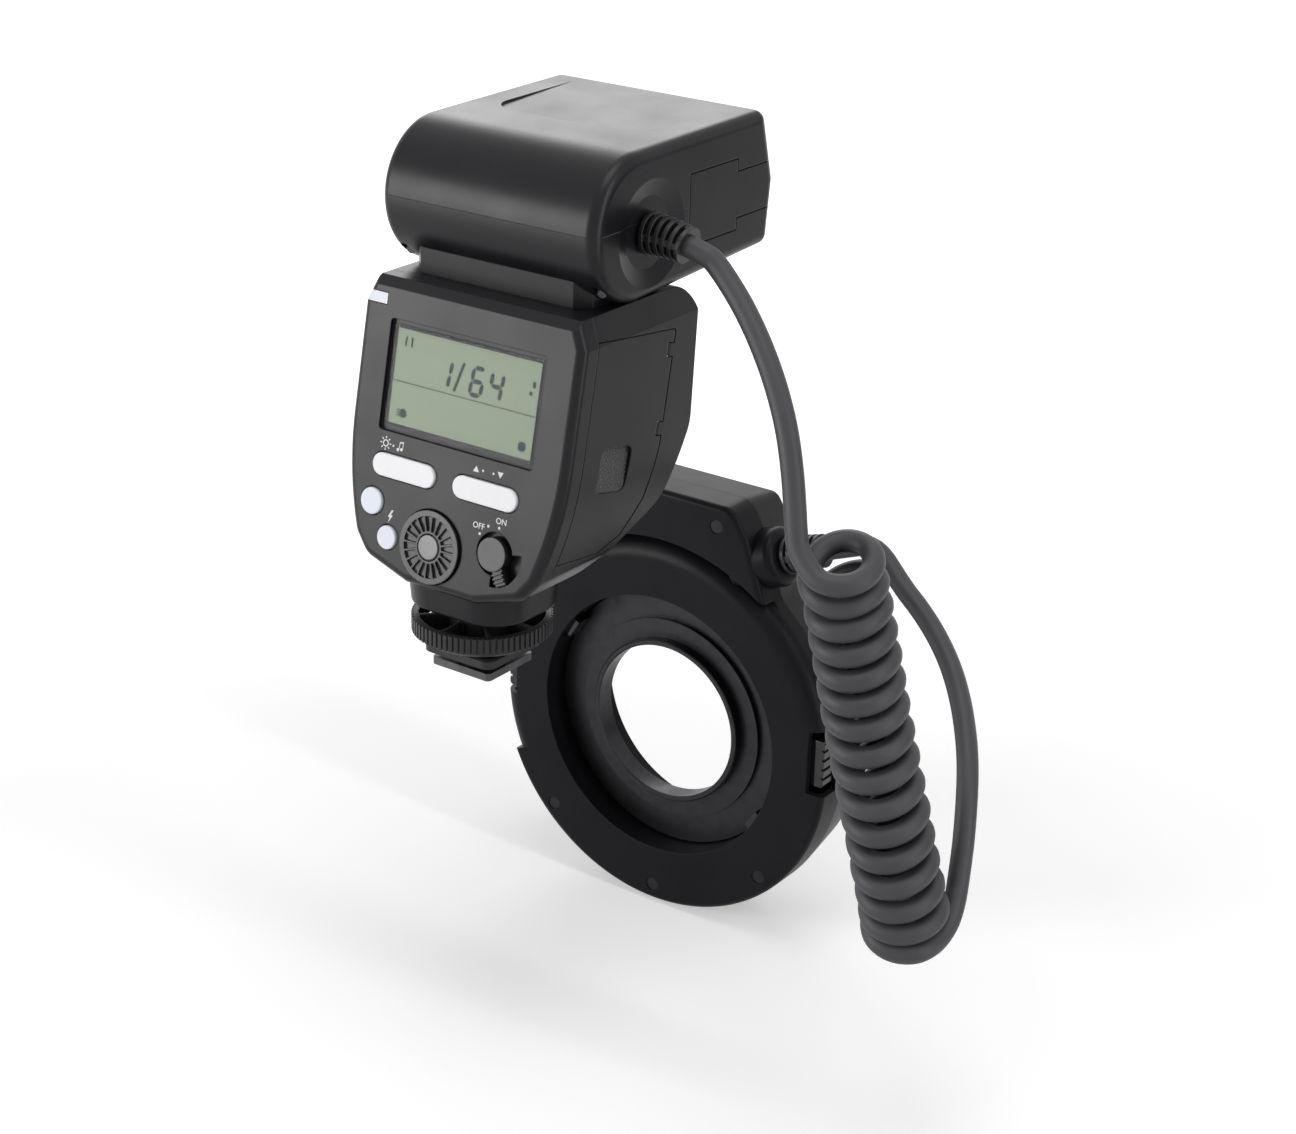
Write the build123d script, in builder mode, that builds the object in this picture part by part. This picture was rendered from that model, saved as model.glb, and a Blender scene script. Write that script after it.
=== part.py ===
from build123d import *
import os
from math import atan2, cos, degrees, pi, radians, sin, sqrt, tan

# Macro ring flash: a control unit for a camera's accessory shoe, a ring head that clips to an adapter
# on the front of the lens, and the curly cord between them. Millimetres, +Z up, +Y forwards along the
# lens, +X to the right of someone behind the control panel. The origin is the centre of the underside
# of the shoe foot.

# General clearances and walls
fit_gap = 0.3
thin_gap = 0.15
run_gap = 0.05
overrun = 1.0
far = 200.0

# Shoe foot, clamp plate and lock wheel
foot_width = 18.5
foot_length = 18.0
foot_thick = 2.0
foot_corner = 1.2
foot_neck_width = 12.2
pin_radius = 1.1
pin_rise = 0.6
pin_head_radius = 1.6
pin_head_thick = 0.6
pin_bore_depth = 6.0
pin_pitch = 2.7
clamp_rail_gap = 2.1
clamp_width = 22.0
clamp_thick = 2.6
clamp_corner = 3.0
lock_pin_radius = 0.9
lock_pin_reach = 0.9
lock_pin_y_share = 0.4
wheel_radius = 17.9
wheel_low = 8.0
wheel_band_low = 9.7
wheel_band_top = 13.8
wheel_floor = 1.4
wheel_rim = 1.9
wheel_tooth = 0.55
wheel_teeth = 72
wheel_skirt_radius = 16.0
wheel_hub_wall = 2.2
wheel_rib = 0.9
wheel_rib_count = 8

# Stem between the foot and the casing
stem_low_half = 17.2
stem_low_rear = -14.2
stem_low_front = 15.5
stem_top_grow = 1.6
stem_low = 16.8
stem_top = 36.0
stem_corner = 11.0
foot_screw_pitch = 20.0
foot_screw_radius = 1.2
foot_screw_head = 2.3
foot_screw_length = 9.0
foot_flange_length = 27.0
foot_flange_width = 9.0
foot_flange_thick = 1.5
screw_head_thick = 1.4

# Control panel plane: it leans back by this angle and starts at the casing's foot
panel_lean = 11.44
panel_foot_y = -17.8
panel_seam = 5.9

# Casing of the lower body
casing_wall = 2.0
casing_foot = 24.0
casing_top = 96.5
casing_half = 33.9
casing_top_half = 30.8
casing_shoulder = 90.0
casing_flank_low = 62.0
casing_low_half = 28.6
casing_low = 33.0
casing_chin_half = 24.5
casing_chin = 28.0
casing_flat_half = 11.0
casing_corner = 6.0
casing_bevel_y = 2.6
casing_bevel_z = 2.0
casing_chin_y = -2.0
casing_jaw_y = 31.5
casing_jaw_z = 42.5
casing_brow_y = 40.5
casing_brow_z = 61.0
casing_front_y = 43.0
casing_front_round = 7.0
casing_jaw_round = 12.0
casing_edge_round = 2.4

# Display and its window, in panel coordinates: across, then up the slope from the casing's foot
display_x = -0.4
display_v = 50.7
display_width = 42.9
display_height = 22.6
display_corner = 1.0
bezel_margin = 2.6
bezel_depth = 1.1
window_margin = 1.5
window_thick = 0.8
module_thick = 2.0
board_thick = 1.2
board_depth = 6.6
board_low_v = 7.6
board_top_v = 66.0

# Buttons
rocker_left_x = -14.7
rocker_right_x = 10.8
rocker_v = 28.4
rocker_length = 19.8
rocker_width = 5.8
button_proud = 0.7
button_gap = 0.3
button_flange = 0.8
button_lip = 0.7
button_drop = 0.7
mode_x = -23.6
mode_v = 18.6
mode_radius = 3.4
board_width = (mode_radius - mode_x) * 2
lamp_x = -17.5
lamp_v = 10.6
lamp_radius = 3.0
switch_rise = 2.3

# Dial, set button and power switch
dial_x = -3.8
dial_v = 11.4
dial_radius = 9.2
dial_dish = 1.5
dial_dish_depth = 0.7
dial_proud = 0.9
dial_thick = 3.2
dial_notches = 20
dial_notch_width = 0.5
dial_hub_radius = 3.9
set_radius = 3.3
set_travel = 0.5
encoder_radius = 5.6
power_x = 15.7
power_v = 14.5
power_radius = 4.2
power_track = 8.2
power_track_start = -92.0
power_track_sweep = 102.0
power_pocket_depth = 1.5
power_proud = 1.2
power_tab_angle = -63.0
power_tab_width = 3.0
power_post = 2.0
corner_lamp_inner = 26.4
corner_lamp_v = 68.9
corner_lamp_height = 2.7

# Battery door on the right side: its outline as depth from the panel and height up the slope
door_outline = [
    (6.15, 14.5), (24.0, 15.5), (31.0, 19.7), (35.7, 28.9), (37.2, 42.0), (37.2, 71.9), (6.15, 69.4),
]
door_corner = 1.0
door_gap = 0.25
door_carrier_low = 25.6
door_carrier_top = 64.0
door_carrier_rear = 9.6
door_carrier_front = 33.6
hinge_line = 36.2
hinge_pin_radius = 0.55
hinge_low_v = 45.4
hinge_top_v = 68.4
hinge_lug = 3.2
pad_depth_d = 25.3
pad_v = 37.9
pad_width = 12.4
pad_height = 11.5
pad_corner = 2.0
pad_recess = 0.8
pad_proud = 0.35
pad_ribs = 9
cell_spots = [(15.8, 29.8), (27.8, 39.2), (15.8, 48.6), (27.8, 58.0)]
cell_radius = 7.15
cell_length = 48.5
cell_left = -22.5
cell_nub_radius = 2.7
cell_nub = 1.6
tray_rear = 8.6
tray_front = 34.6
tray_low = 21.8
tray_chamfer = 4.0
tray_top = 66.4
tray_rib = 2.0
tray_end = 1.2
tray_ribs = [-12.0, 14.0]
tray_spines = [(30.0, 28.0), (13.0, 60.6)]
tray_side_spines = [(9.4, 39.2), (33.8, 48.6)]
tray_spine_width = 7.0
tray_spine_height = 3.6
contact_thick = 0.5
contact_radius = 4.2
contact_tip_radius = 2.0

# Front window of the casing
front_window_width = 40.0
front_window_low = 66.0
front_window_top = 88.0
front_window_corner = 3.0

# Upper box
box_half = 32.8
box_wall = 2.4
box_nose_y = 19.2
box_nose_z = 115.0
box_nose_radius = 18.4
box_top_front_y = 72.0
box_top_front_rise = 19.2
box_top_front_z = box_nose_z + box_top_front_rise
box_prow_y = 77.0
box_prow_rise = 1.2
box_prow_z = box_nose_z + box_prow_rise
box_low_front_y = 75.0
box_low_front_drop = 15.6
box_low_front_z = box_nose_z - box_low_front_drop
box_seam_rise = 0.9
box_seam_z = box_nose_z + box_seam_rise
box_edge_round = 3.0
dish_rear = 32.0
dish_front = 66.0
dish_half = 23.5
dish_corner = 7.0
dish_depth = 0.7
neck_half = 27.0
neck_rear = 5.0
neck_front = 38.0
neck_top_drop = 9.0
neck_top = box_nose_z - neck_top_drop
neck_edge = 3.5
band_thick = 1.2
band_rear = 39.3
band_step = 59.5
band_low_drop = 8.7
band_top_rise = 9.0
band_step_low_drop = 5.7
band_step_top_rise = 5.8
band_low = box_nose_z - band_low_drop
band_top = box_nose_z + band_top_rise
band_step_low = box_nose_z - band_step_low_drop
band_step_top = box_nose_z + band_step_top_rise
band_groove = 0.35
capacitor_radius = 13.0
capacitor_length = 50.0
capacitor_bevel = 1.0
saddle_thick = 2.0
saddle_x = 16.0
flash_board_rear = 39.0
flash_board_front = 68.0
flash_board_half = 27.0
flash_board_drop = 7.0
flash_board_z = box_nose_z - flash_board_drop
flash_board_thick = 1.6
board_leg_radius = 2.0
transformer_width = 15.0
transformer_depth = 13.0
transformer_height = 10.0
box_screw_x = 29.4
box_screw_y = 9.0
box_screw_hole = 1.7

# Cord relief, the same part at both ends of the cord
relief_y = 23.5
relief_drop = 2.2
relief_z = box_nose_z - relief_drop
relief_dish_radius = 13.5
relief_dish_floor_radius = 9.0
relief_dish_depth = 1.3
relief_length = 12.0
relief_core = 3.3
relief_ring_radius = 5.4
relief_ring_end = 4.6
relief_rings = 6
relief_ring_thick = 1.1
relief_bar = 1.5
relief_bar_inset = 0.3
relief_flange_radius = 6.2
relief_flange = 2.0
relief_straight = 3.0
relief_droop = 14.0

# Cord: its route is chosen by hand and stays as it is
cord_diameter = 5.5
cord_bend_share = 0.45
cord_first_run = 10.0
upper_route = [(63.0, 22.0, 102.0), (73.8, 17.4, 91.3)]
cord_last_run = 14.0
coil_start = (82.0, 17.5, 57.0)
coil_start_heading = (0.12, 0.03, -0.99)
coil_top = (94.2, 18.0, 44.5)
coil_bottom = (117.0, 17.5, -46.0)
coil_radius = 8.0
coil_pitch = 6.15
coil_turns = 15.15
coil_first_angle = 216.0
coil_lift = 5.0
coil_end = (131.0, 17.0, -38.0)
coil_end_heading = (-0.05, 0.72, 0.69)
coil_end_run = 9.0
lower_route = [(124.5, 38.0, -20.5), (111.5, 54.0, -10.7), (94.7, 72.0, 2.0), (77.0, 82.8, 11.3), (66.0, 86.6, 16.2)]

# Ring head: its axis is the lens axis
ring_axis_z = -48.5
ring_radius = 56.0
ring_rear = 78.2
ring_seam = 88.0
ring_front = 104.0
ring_wall = 2.0
ring_taper = 9.0
ring_front_round = 2.0
ring_rear_round = 1.6
shoulder_rise = 15.4
shoulder_top = ring_radius + shoulder_rise
shoulder_top_half = 22.8
shoulder_cap = 8.4
shoulder_mid = shoulder_top - shoulder_cap
shoulder_step = 9.0
shoulder_drop = 19.0
shoulder_low = ring_radius - shoulder_drop
shoulder_low_half = 36.8
shoulder_round = 6.0
shoulder_waist_round = 8.0
bore_radius = 39.1
bore_collar = 1.6
aperture_radius = 34.0
aperture_wall = 1.8
aperture_mouth = 2.5
flange_thick = 1.8
lower_round = 6.0
lower_round_top = 8.0

# Lamps in the ring head
diffuser_inner = 38.6
diffuser_outer = 50.2
diffuser_half_angle = 64.0
diffuser_proud = 0.5
diffuser_flange = 1.2
diffuser_lip = 1.0
diffuser_corner = 2.5
reflector_wall = 0.8
reflector_depth = 8.0
tube_radius = 2.0
tube_ring_radius = 45.0
tube_y = 97.0
tube_half_angle = 56.0
tube_cap_radius = 2.5
tube_cap_length = 4.0
lamp_led_radius = 2.5
lamp_led_x = 5.0
lamp_led_r = 46.0
led_flange = 0.6
ring_board_half = 15.0
ring_board_low = 45.0
ring_board_top = 60.0
ring_board_y = 95.0
peg_radius = 1.5
peg_x = 12.0
peg_z = 55.0

# Screws that join the ring head's shells
ring_screw_margin = 4.7
ring_screw_low_angle = 45.24
ring_screw_top_side = 5.0
ring_screw_top_drop = 6.2
ring_screw_circle = ring_radius - ring_screw_margin
ring_screw_x = shoulder_top_half - ring_screw_top_side
ring_screw_z = shoulder_top - ring_screw_top_drop
ring_screw_low_x = ring_screw_circle * cos(radians(ring_screw_low_angle))
ring_screw_low_z = -ring_screw_circle * sin(radians(ring_screw_low_angle))
ring_screw_foot_z = -ring_screw_circle
ring_screw_head = 1.9
ring_screw_radius = 1.0
ring_screw_length = 12.0
ring_post_radius = 2.95
ring_head_recess = 1.0

# Release buttons, claws and springs
release_z = 3.5
release_height = 14.0
release_slot = 18.5
release_slot_lift = 0.5
release_slot_margin = 5.7
release_slot_inner_x = ring_radius - release_slot_margin
release_slot_depth = 8.8
release_outer_margin = 1.6
release_inner_margin = 10.0
release_outer_x = ring_radius - release_outer_margin
release_inner_x = ring_radius - release_inner_margin
release_depth = 5.2
spring_y = 83.8
release_rear = 80.4
slider_rear = 80.5
slider_thick = 1.5
slider_width = 3.4
slider_clearance = 3.9
slider_inner = bore_radius + slider_clearance
slider_shift = 2.4
claw_angle = 147.0
claw_width = 6.0
claw_tip = 37.2
claw_root = slider_inner + slider_shift / 2
claw_front = 85.4
claw_window = 10.0
spring_radius = 1.6
spring_bore = 0.9
grip_ribs = 5

# Adapter ring with its male thread for the lens
adapter_rear = 86.2
adapter_thick = 1.6
adapter_radius = 38.6
thread_radius = 24.5
thread_length = 4.4
thread_wall = 1.6
adapter_step = 1.4
adapter_step_radius = 30.0

# Socket boss of the ring head, square to the shoulder's side
boss_angle = 21.0
boss_side = 1.2
boss_ahead = 8.8
boss_drop = 12.7
boss_face = (shoulder_low_half - boss_side, ring_rear + boss_ahead, ring_axis_z + shoulder_top - boss_drop)
boss_radius = 8.3
boss_length = 15.0
boss_round = 2.5

os.makedirs("parts", exist_ok=True)


def save(piece, name):
    piece.part.label = name
    export_step(piece.part, "parts/" + name + ".step")


def panel_plane(depth):
    """Plane parallel to the control panel, this far inside it: x across, y up the slope, z outwards."""
    lean = radians(panel_lean)
    out = Vector(0, -cos(lean), sin(lean))
    return Plane(origin=Vector(0, panel_foot_y, casing_foot) - out * depth, x_dir=(1, 0, 0), z_dir=out)


def panel_point(x, v, depth):
    """A point in panel coordinates, as a point of the whole object."""
    return panel_plane(depth).from_local_coords(Vector(x, v, 0))


def panel_y(z):
    """Where the panel's face is at a height."""
    return panel_foot_y + (z - casing_foot) * tan(radians(panel_lean))


def radial_plane(angle):
    """Plane through the lens axis at an angle from +X towards +Z: x outwards, y forwards."""
    a = radians(angle)
    return Plane(origin=(0, 0, ring_axis_z), x_dir=(cos(a), 0, sin(a)), z_dir=(-sin(a), 0, cos(a)))


def facing_rear(y):
    """Upright plane across the lens axis at y, seen from behind, centred on the lens axis."""
    return Plane(origin=(0, y, ring_axis_z), x_dir=(1, 0, 0), z_dir=(0, -1, 0))


ring_axis = Axis((0, 0, ring_axis_z), (0, -1, 0))


def casing_form(inset):
    """The lower body as one solid, drawn in by an inset: its outline from behind through its profile."""
    with BuildPart() as form:
        with BuildSketch(Plane.XZ) as outline:
            with BuildLine():
                Line((casing_top_half, casing_top), (casing_half, casing_shoulder))
                flank = Line((casing_half, casing_shoulder), (casing_half, casing_flank_low))
                TangentArc(flank @ 1, (casing_low_half, casing_low), tangent=flank % 1)
                Line((casing_low_half, casing_low), (casing_chin_half, casing_chin))
                Line((casing_chin_half, casing_chin), (casing_flat_half, casing_foot))
                Line((casing_flat_half, casing_foot), (0, casing_foot))
                Line((0, casing_top), (casing_top_half, casing_top))
                mirror(about=Plane.YZ)
            make_face()
            low = outline.vertices().filter_by_position(Axis.Y, casing_chin, casing_low)
            fillet(low, casing_corner)
            if inset:
                offset(amount=-inset, mode=Mode.REPLACE)
        extrude(amount=far, both=True)
        with BuildSketch(Plane.YZ) as profile:
            with BuildLine():
                Polyline(
                    (panel_foot_y, casing_foot),
                    (casing_chin_y, casing_foot),
                    (casing_jaw_y, casing_jaw_z),
                    (casing_brow_y, casing_brow_z),
                    (casing_front_y, casing_top),
                    (panel_y(casing_top - casing_bevel_z) + casing_bevel_y, casing_top),
                    (panel_y(casing_top - casing_bevel_z), casing_top - casing_bevel_z),
                    close=True,
                )
            make_face()
            corners = profile.vertices().sort_by(Axis.X)
            fillet(corners.filter_by_position(Axis.X, casing_jaw_y, casing_brow_y), casing_jaw_round)
            fillet(profile.vertices().sort_by(Axis.X)[-1], casing_front_round)
            if inset:
                offset(amount=-inset, mode=Mode.REPLACE)
        extrude(amount=far, both=True, mode=Mode.INTERSECT)
    return form.part


casing_solid = casing_form(0)
casing_hollow = casing_form(casing_wall)
with BuildPart() as casing_round:
    add(casing_solid)
    panel_face = casing_round.faces().filter_by(
        lambda face: face.normal_at().dot(panel_plane(0).z_dir) > cos(radians(1))
    )[0]
    fillet(panel_face.edges().sort_by(Axis.Z)[:-1], casing_edge_round)
casing_outer = casing_round.part



side_plane = Plane(origin=(0, panel_foot_y, casing_foot), x_dir=-panel_plane(0).z_dir, z_dir=(1, 0, 0))


def door_prism(grow, shift):
    """The door's outline as a prism through the right side, grown all round and shifted forwards."""
    with BuildPart() as prism:
        with BuildSketch(side_plane):
            with BuildLine():
                Polyline(*door_outline, close=True)
            make_face()
            fillet(vertices().sort_by(Axis.Y)[-1], door_corner)
            if grow:
                offset(amount=grow, kind=Kind.INTERSECTION)
        extrude(amount=far)
    return prism.part.moved(Location(side_plane.x_dir * shift))


def panel_slab(outer, inner):
    """Everything between two depths behind the panel plane."""
    with BuildPart() as slab:
        with BuildSketch(panel_plane(inner)):
            Rectangle(far * 2, far * 2)
        extrude(amount=inner - outer)
    return slab.part


# Forms cut out of the casing for the door: one for the gap all round, one more for the hinged edge
door_solid = door_prism(0, 0)
door_hole = door_prism(door_gap, 0)
door_hole_front = door_prism(door_gap, door_gap)

# Foot plate: slides into a camera's shoe, carries the round neck that the lock wheel turns on
foot_neck_radius = foot_neck_width / 2
lock_pin_y = foot_length * lock_pin_y_share
pin_spots = [(0, 0), (pin_pitch, pin_pitch), (-pin_pitch, pin_pitch), (-pin_pitch, -pin_pitch),
             (pin_pitch, -pin_pitch)]
with BuildPart() as foot_plate:
    with BuildSketch():
        RectangleRounded(foot_width, foot_length, foot_corner)
    extrude(amount=foot_thick)
    with BuildSketch(Plane.XY.offset(foot_thick)):
        Circle(foot_neck_radius)
    extrude(amount=stem_low - foot_thick)
    with BuildSketch(Plane.XY.offset(stem_low - foot_flange_thick)):
        SlotOverall(foot_flange_length, foot_flange_width)
    extrude(amount=foot_flange_thick)
    with BuildSketch():
        with Locations(*pin_spots):
            Circle(pin_radius + run_gap)
        with Locations((0, lock_pin_y)):
            Circle(lock_pin_radius + run_gap)
    extrude(amount=foot_thick, mode=Mode.SUBTRACT)
    with BuildSketch(Plane.XY.offset(pin_head_thick)):
        with Locations(*pin_spots):
            Circle(pin_head_radius + run_gap)
    extrude(amount=pin_bore_depth, mode=Mode.SUBTRACT)
    with BuildSketch(Plane.XY.offset(stem_low - foot_flange_thick)):
        with GridLocations(foot_screw_pitch, 0, 2, 1):
            Circle(foot_screw_radius)
    extrude(amount=foot_flange_thick, mode=Mode.SUBTRACT)
save(foot_plate, "foot_plate")

# Contact pins: sprung up into the foot, their heads rest on the step of their bores
with BuildPart() as contact_pins:
    with BuildSketch(Plane.XY.offset(-pin_rise)):
        with Locations(*pin_spots):
            Circle(pin_radius)
    extrude(amount=pin_rise + pin_head_thick)
    with BuildSketch(Plane.XY.offset(pin_head_thick)):
        with Locations(*pin_spots):
            Circle(pin_head_radius)
    extrude(amount=pin_head_thick)
    fillet(contact_pins.faces().filter_by_position(Axis.Z, -pin_rise, 0).edges().filter_by(GeomType.CIRCLE)
           .filter_by_position(Axis.Z, -pin_rise, -pin_rise), pin_radius / 2)
save(contact_pins, "contact_pins")

# Clamp plate: presses on the shoe's rails and carries the lock pin through the foot
clamp_low = foot_thick + clamp_rail_gap
with BuildPart() as clamp_plate:
    with BuildSketch(Plane.XY.offset(clamp_low)):
        RectangleRounded(clamp_width, clamp_width, clamp_corner)
        Circle(foot_neck_radius + run_gap, mode=Mode.SUBTRACT)
    extrude(amount=clamp_thick)
    chamfer(clamp_plate.faces().sort_by(Axis.Z)[-1].outer_wire().edges(), clamp_thick / 4)
save(clamp_plate, "clamp_plate")

with BuildPart() as lock_pin:
    with BuildSketch(Plane.XY.offset(-lock_pin_reach)):
        with Locations((0, lock_pin_y)):
            Circle(lock_pin_radius)
    extrude(amount=clamp_low + lock_pin_reach)
    chamfer(lock_pin.faces().sort_by(Axis.Z)[0].edges(), lock_pin_radius / 3)
save(lock_pin, "lock_pin")

# Lock wheel: a cup open upwards, with a fine-toothed band over a smooth skirt
with BuildPart() as lock_wheel:
    with BuildSketch(Plane.XY.offset(wheel_low)):
        Circle(wheel_skirt_radius)
    extrude(amount=wheel_band_low - wheel_low)
    chamfer(lock_wheel.faces().sort_by(Axis.Z)[0].edges(), (wheel_band_low - wheel_low) / 2)
    with BuildSketch(Plane.XY.offset(wheel_band_low)):
        Circle(wheel_radius)
        with PolarLocations(wheel_radius, wheel_teeth):
            Rectangle(wheel_tooth * 2, wheel_tooth, rotation=0, mode=Mode.SUBTRACT)
    extrude(amount=wheel_band_top - wheel_band_low)
    with BuildSketch(Plane.XY.offset(wheel_low + wheel_floor)):
        Circle(wheel_radius - wheel_rim)
        Circle(foot_neck_radius + wheel_hub_wall, mode=Mode.SUBTRACT)
        with PolarLocations(wheel_radius / 2, wheel_rib_count):
            Rectangle(wheel_radius, wheel_rib, mode=Mode.SUBTRACT)
    extrude(amount=wheel_band_top, mode=Mode.SUBTRACT)
    with BuildSketch(Plane.XY.offset(wheel_low)):
        Circle(foot_neck_radius + run_gap)
    extrude(amount=wheel_band_top, mode=Mode.SUBTRACT)
save(lock_wheel, "lock_wheel")

# Stem: a rounded block, a little wider upwards, that the casing stands on
stem_length = stem_low_front - stem_low_rear
stem_y = (stem_low_front + stem_low_rear) / 2
stem_taper = degrees(atan2(stem_top_grow, stem_top - stem_low))
with BuildPart() as stem:
    with BuildSketch(Plane.XY.offset(stem_low)):
        with Locations((0, stem_y)):
            RectangleRounded(stem_low_half * 2, stem_length, stem_corner)
    extrude(amount=stem_top - stem_low, taper=-stem_taper)
    fillet(stem.faces().sort_by(Axis.Z)[0].edges(), casing_wall / 2)
    add(casing_outer, mode=Mode.SUBTRACT)
    add(panel_slab(casing_wall / 2, far), mode=Mode.INTERSECT)
    with BuildSketch(Plane.XY.offset(stem_low)):
        with GridLocations(foot_screw_pitch, 0, 2, 1):
            Circle(foot_screw_radius)
    extrude(amount=foot_screw_length - foot_flange_thick, mode=Mode.SUBTRACT)
save(stem, "stem")

with BuildPart() as foot_screws:
    with BuildSketch(Plane.XY.offset(stem_low - foot_flange_thick - screw_head_thick / 2)):
        with GridLocations(foot_screw_pitch, 0, 2, 1):
            Circle(foot_screw_head)
    extrude(amount=screw_head_thick / 2)
    with BuildSketch(Plane.XY.offset(stem_low - foot_flange_thick)):
        with GridLocations(foot_screw_pitch, 0, 2, 1):
            Circle(foot_screw_radius)
    extrude(amount=foot_screw_length)
save(foot_screws, "foot_screws")

# Rear cover: the control panel with its openings, up to the seam behind it
rocker_spots = [(rocker_left_x, rocker_v), (rocker_right_x, rocker_v)]
window_width = display_width + window_margin * 2
window_height = display_height + window_margin * 2
dial_cup = dial_radius + fit_gap + dial_hub_radius / 3
dial_floor = dial_thick - dial_proud + fit_gap
dial_collar = encoder_radius - button_flange
power_floor = power_pocket_depth + fit_gap * 2
with BuildPart() as rear_cover:
    add(casing_outer)
    add(panel_slab(0 - far, panel_seam), mode=Mode.INTERSECT)
    add(casing_hollow, mode=Mode.SUBTRACT)
    with BuildSketch(panel_plane(dial_floor + button_flange)):
        with Locations((dial_x, dial_v)):
            Circle(dial_cup)
        with Locations((power_x, power_v)):
            Circle(power_track)
    extrude(amount=dial_floor + button_flange - casing_wall / 2)
    add(casing_solid, mode=Mode.INTERSECT)
    with BuildSketch(panel_plane(bezel_depth)):
        with Locations((display_x, display_v)):
            RectangleRounded(display_width + bezel_margin * 2, display_height + bezel_margin * 2, display_corner)
    extrude(amount=far, mode=Mode.SUBTRACT)
    with BuildSketch(panel_plane(casing_wall)):
        with Locations((display_x, display_v)):
            Rectangle(display_width, display_height)
        with Locations(*rocker_spots):
            SlotOverall(rocker_length + button_gap * 2, rocker_width + button_gap * 2)
        with Locations((mode_x, mode_v)):
            Circle(mode_radius + button_gap)
        with Locations((lamp_x, lamp_v)):
            Circle(lamp_radius + button_gap)
    extrude(amount=far, mode=Mode.SUBTRACT)
    with BuildSketch(panel_plane(dial_floor)):
        with Locations((dial_x, dial_v)):
            Circle(dial_radius + fit_gap)
    extrude(amount=far, mode=Mode.SUBTRACT)
    with BuildSketch(panel_plane(panel_seam)):
        with Locations((lamp_x, lamp_v)):
            Circle(lamp_radius + button_lip + thin_gap)
    extrude(amount=panel_seam - casing_wall, mode=Mode.SUBTRACT)
    with BuildSketch(panel_plane(power_floor)):
        with Locations((power_x, power_v)):
            Circle(power_radius + power_proud)
        with BuildLine():
            track = CenterArc((power_x, power_v), power_track, power_track_start, power_track_sweep)
            Line(track @ 1, (power_x, power_v))
            Line((power_x, power_v), track @ 0)
        make_face()
    extrude(amount=far, mode=Mode.SUBTRACT)
    with BuildSketch(panel_plane(dial_floor + button_flange + overrun)):
        with Locations((dial_x, dial_v)):
            Circle(dial_collar + run_gap)
        with Locations((power_x, power_v)):
            Circle(power_post + run_gap)
    extrude(amount=far, mode=Mode.SUBTRACT)
    with BuildSketch(panel_plane(panel_seam)):
        with Locations((-far / 2 - corner_lamp_inner + thin_gap, corner_lamp_v)):
            Rectangle(far, corner_lamp_height + thin_gap * 2)
    extrude(amount=far, mode=Mode.SUBTRACT)
save(rear_cover, "rear_cover")

# Hinge of the battery door: lugs of the casing stand in notches of the door's front edge
hinge_x = casing_half - casing_wall / 2
hinge_reach = hinge_top_v - hinge_low_v
hinge_sweep = casing_wall / sqrt(2)


def hinge_plane(v):
    """Plane across the hinge line at a height up the slope: x forwards into the depth, y outwards."""
    up = side_plane.y_dir
    middle = side_plane.from_local_coords(Vector(hinge_line, v, hinge_x))
    return Plane(origin=middle, x_dir=side_plane.x_dir, z_dir=up)


def hinge_barrels(radius, reach, grow):
    """The two lugs along the hinge line, each with a web forwards, grown at both ends."""
    with BuildPart() as lugs:
        for v in [hinge_low_v, hinge_top_v - hinge_lug]:
            with BuildSketch(hinge_plane(v - grow)):
                Circle(radius)
                with Locations((reach / 2, 0)):
                    Rectangle(reach, casing_wall)
            extrude(amount=hinge_lug + grow * 2)
    return lugs.part


# Front casing: everything in front of the seam but the door
with BuildPart() as front_casing:
    add(casing_outer)
    add(panel_slab(panel_seam, far), mode=Mode.INTERSECT)
    add(casing_hollow, mode=Mode.SUBTRACT)
    add(door_hole, mode=Mode.SUBTRACT)
    add(door_hole_front, mode=Mode.SUBTRACT)
    add(hinge_barrels(casing_wall / 2, casing_wall, 0))
    with BuildSketch(hinge_plane(hinge_low_v)):
        Circle(hinge_pin_radius)
    extrude(amount=hinge_reach, mode=Mode.SUBTRACT)
    with BuildSketch(Plane.XZ.offset(-casing_brow_y + casing_wall * 2)):
        with Locations((0, (front_window_low + front_window_top) / 2)):
            RectangleRounded(front_window_width, front_window_top - front_window_low, front_window_corner)
    extrude(amount=-far, mode=Mode.SUBTRACT)
save(front_casing, "front_casing")

with BuildPart() as door_hinge_pin:
    with BuildSketch(hinge_plane(hinge_low_v)):
        Circle(hinge_pin_radius)
    extrude(amount=hinge_reach)
save(door_hinge_pin, "door_hinge_pin")

# Battery door: the same walls inside its outline, a carrier for the contacts behind it and a latch
with BuildPart() as door_carrier:
    with BuildSketch(side_plane.offset(cell_left + cell_length + cell_nub + contact_thick + thin_gap)):
        with Locations(((door_carrier_rear + door_carrier_front) / 2, (door_carrier_low + door_carrier_top) / 2)):
            RectangleRounded(door_carrier_front - door_carrier_rear, door_carrier_top - door_carrier_low, pad_corner)
    extrude(amount=casing_half - hinge_x + hinge_x - cell_left - cell_length - cell_nub - contact_thick - thin_gap)
    add(casing_solid, mode=Mode.INTERSECT)
with BuildPart() as battery_door:
    add(casing_outer)
    add(casing_hollow, mode=Mode.SUBTRACT)
    add(door_solid, mode=Mode.INTERSECT)
    add(door_carrier.part)
    add(hinge_barrels(hinge_sweep + thin_gap, casing_wall * 2, door_gap), mode=Mode.SUBTRACT)
    with BuildSketch(hinge_plane(hinge_low_v)):
        Circle(hinge_pin_radius + run_gap)
    extrude(amount=hinge_reach, mode=Mode.SUBTRACT)
    with BuildSketch(side_plane.offset(casing_half - pad_recess - casing_wall / 2)):
        with Locations((pad_depth_d - panel_seam, pad_v)):
            RectangleRounded(pad_width, pad_height, pad_corner)
    extrude(amount=far, mode=Mode.SUBTRACT)
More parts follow.
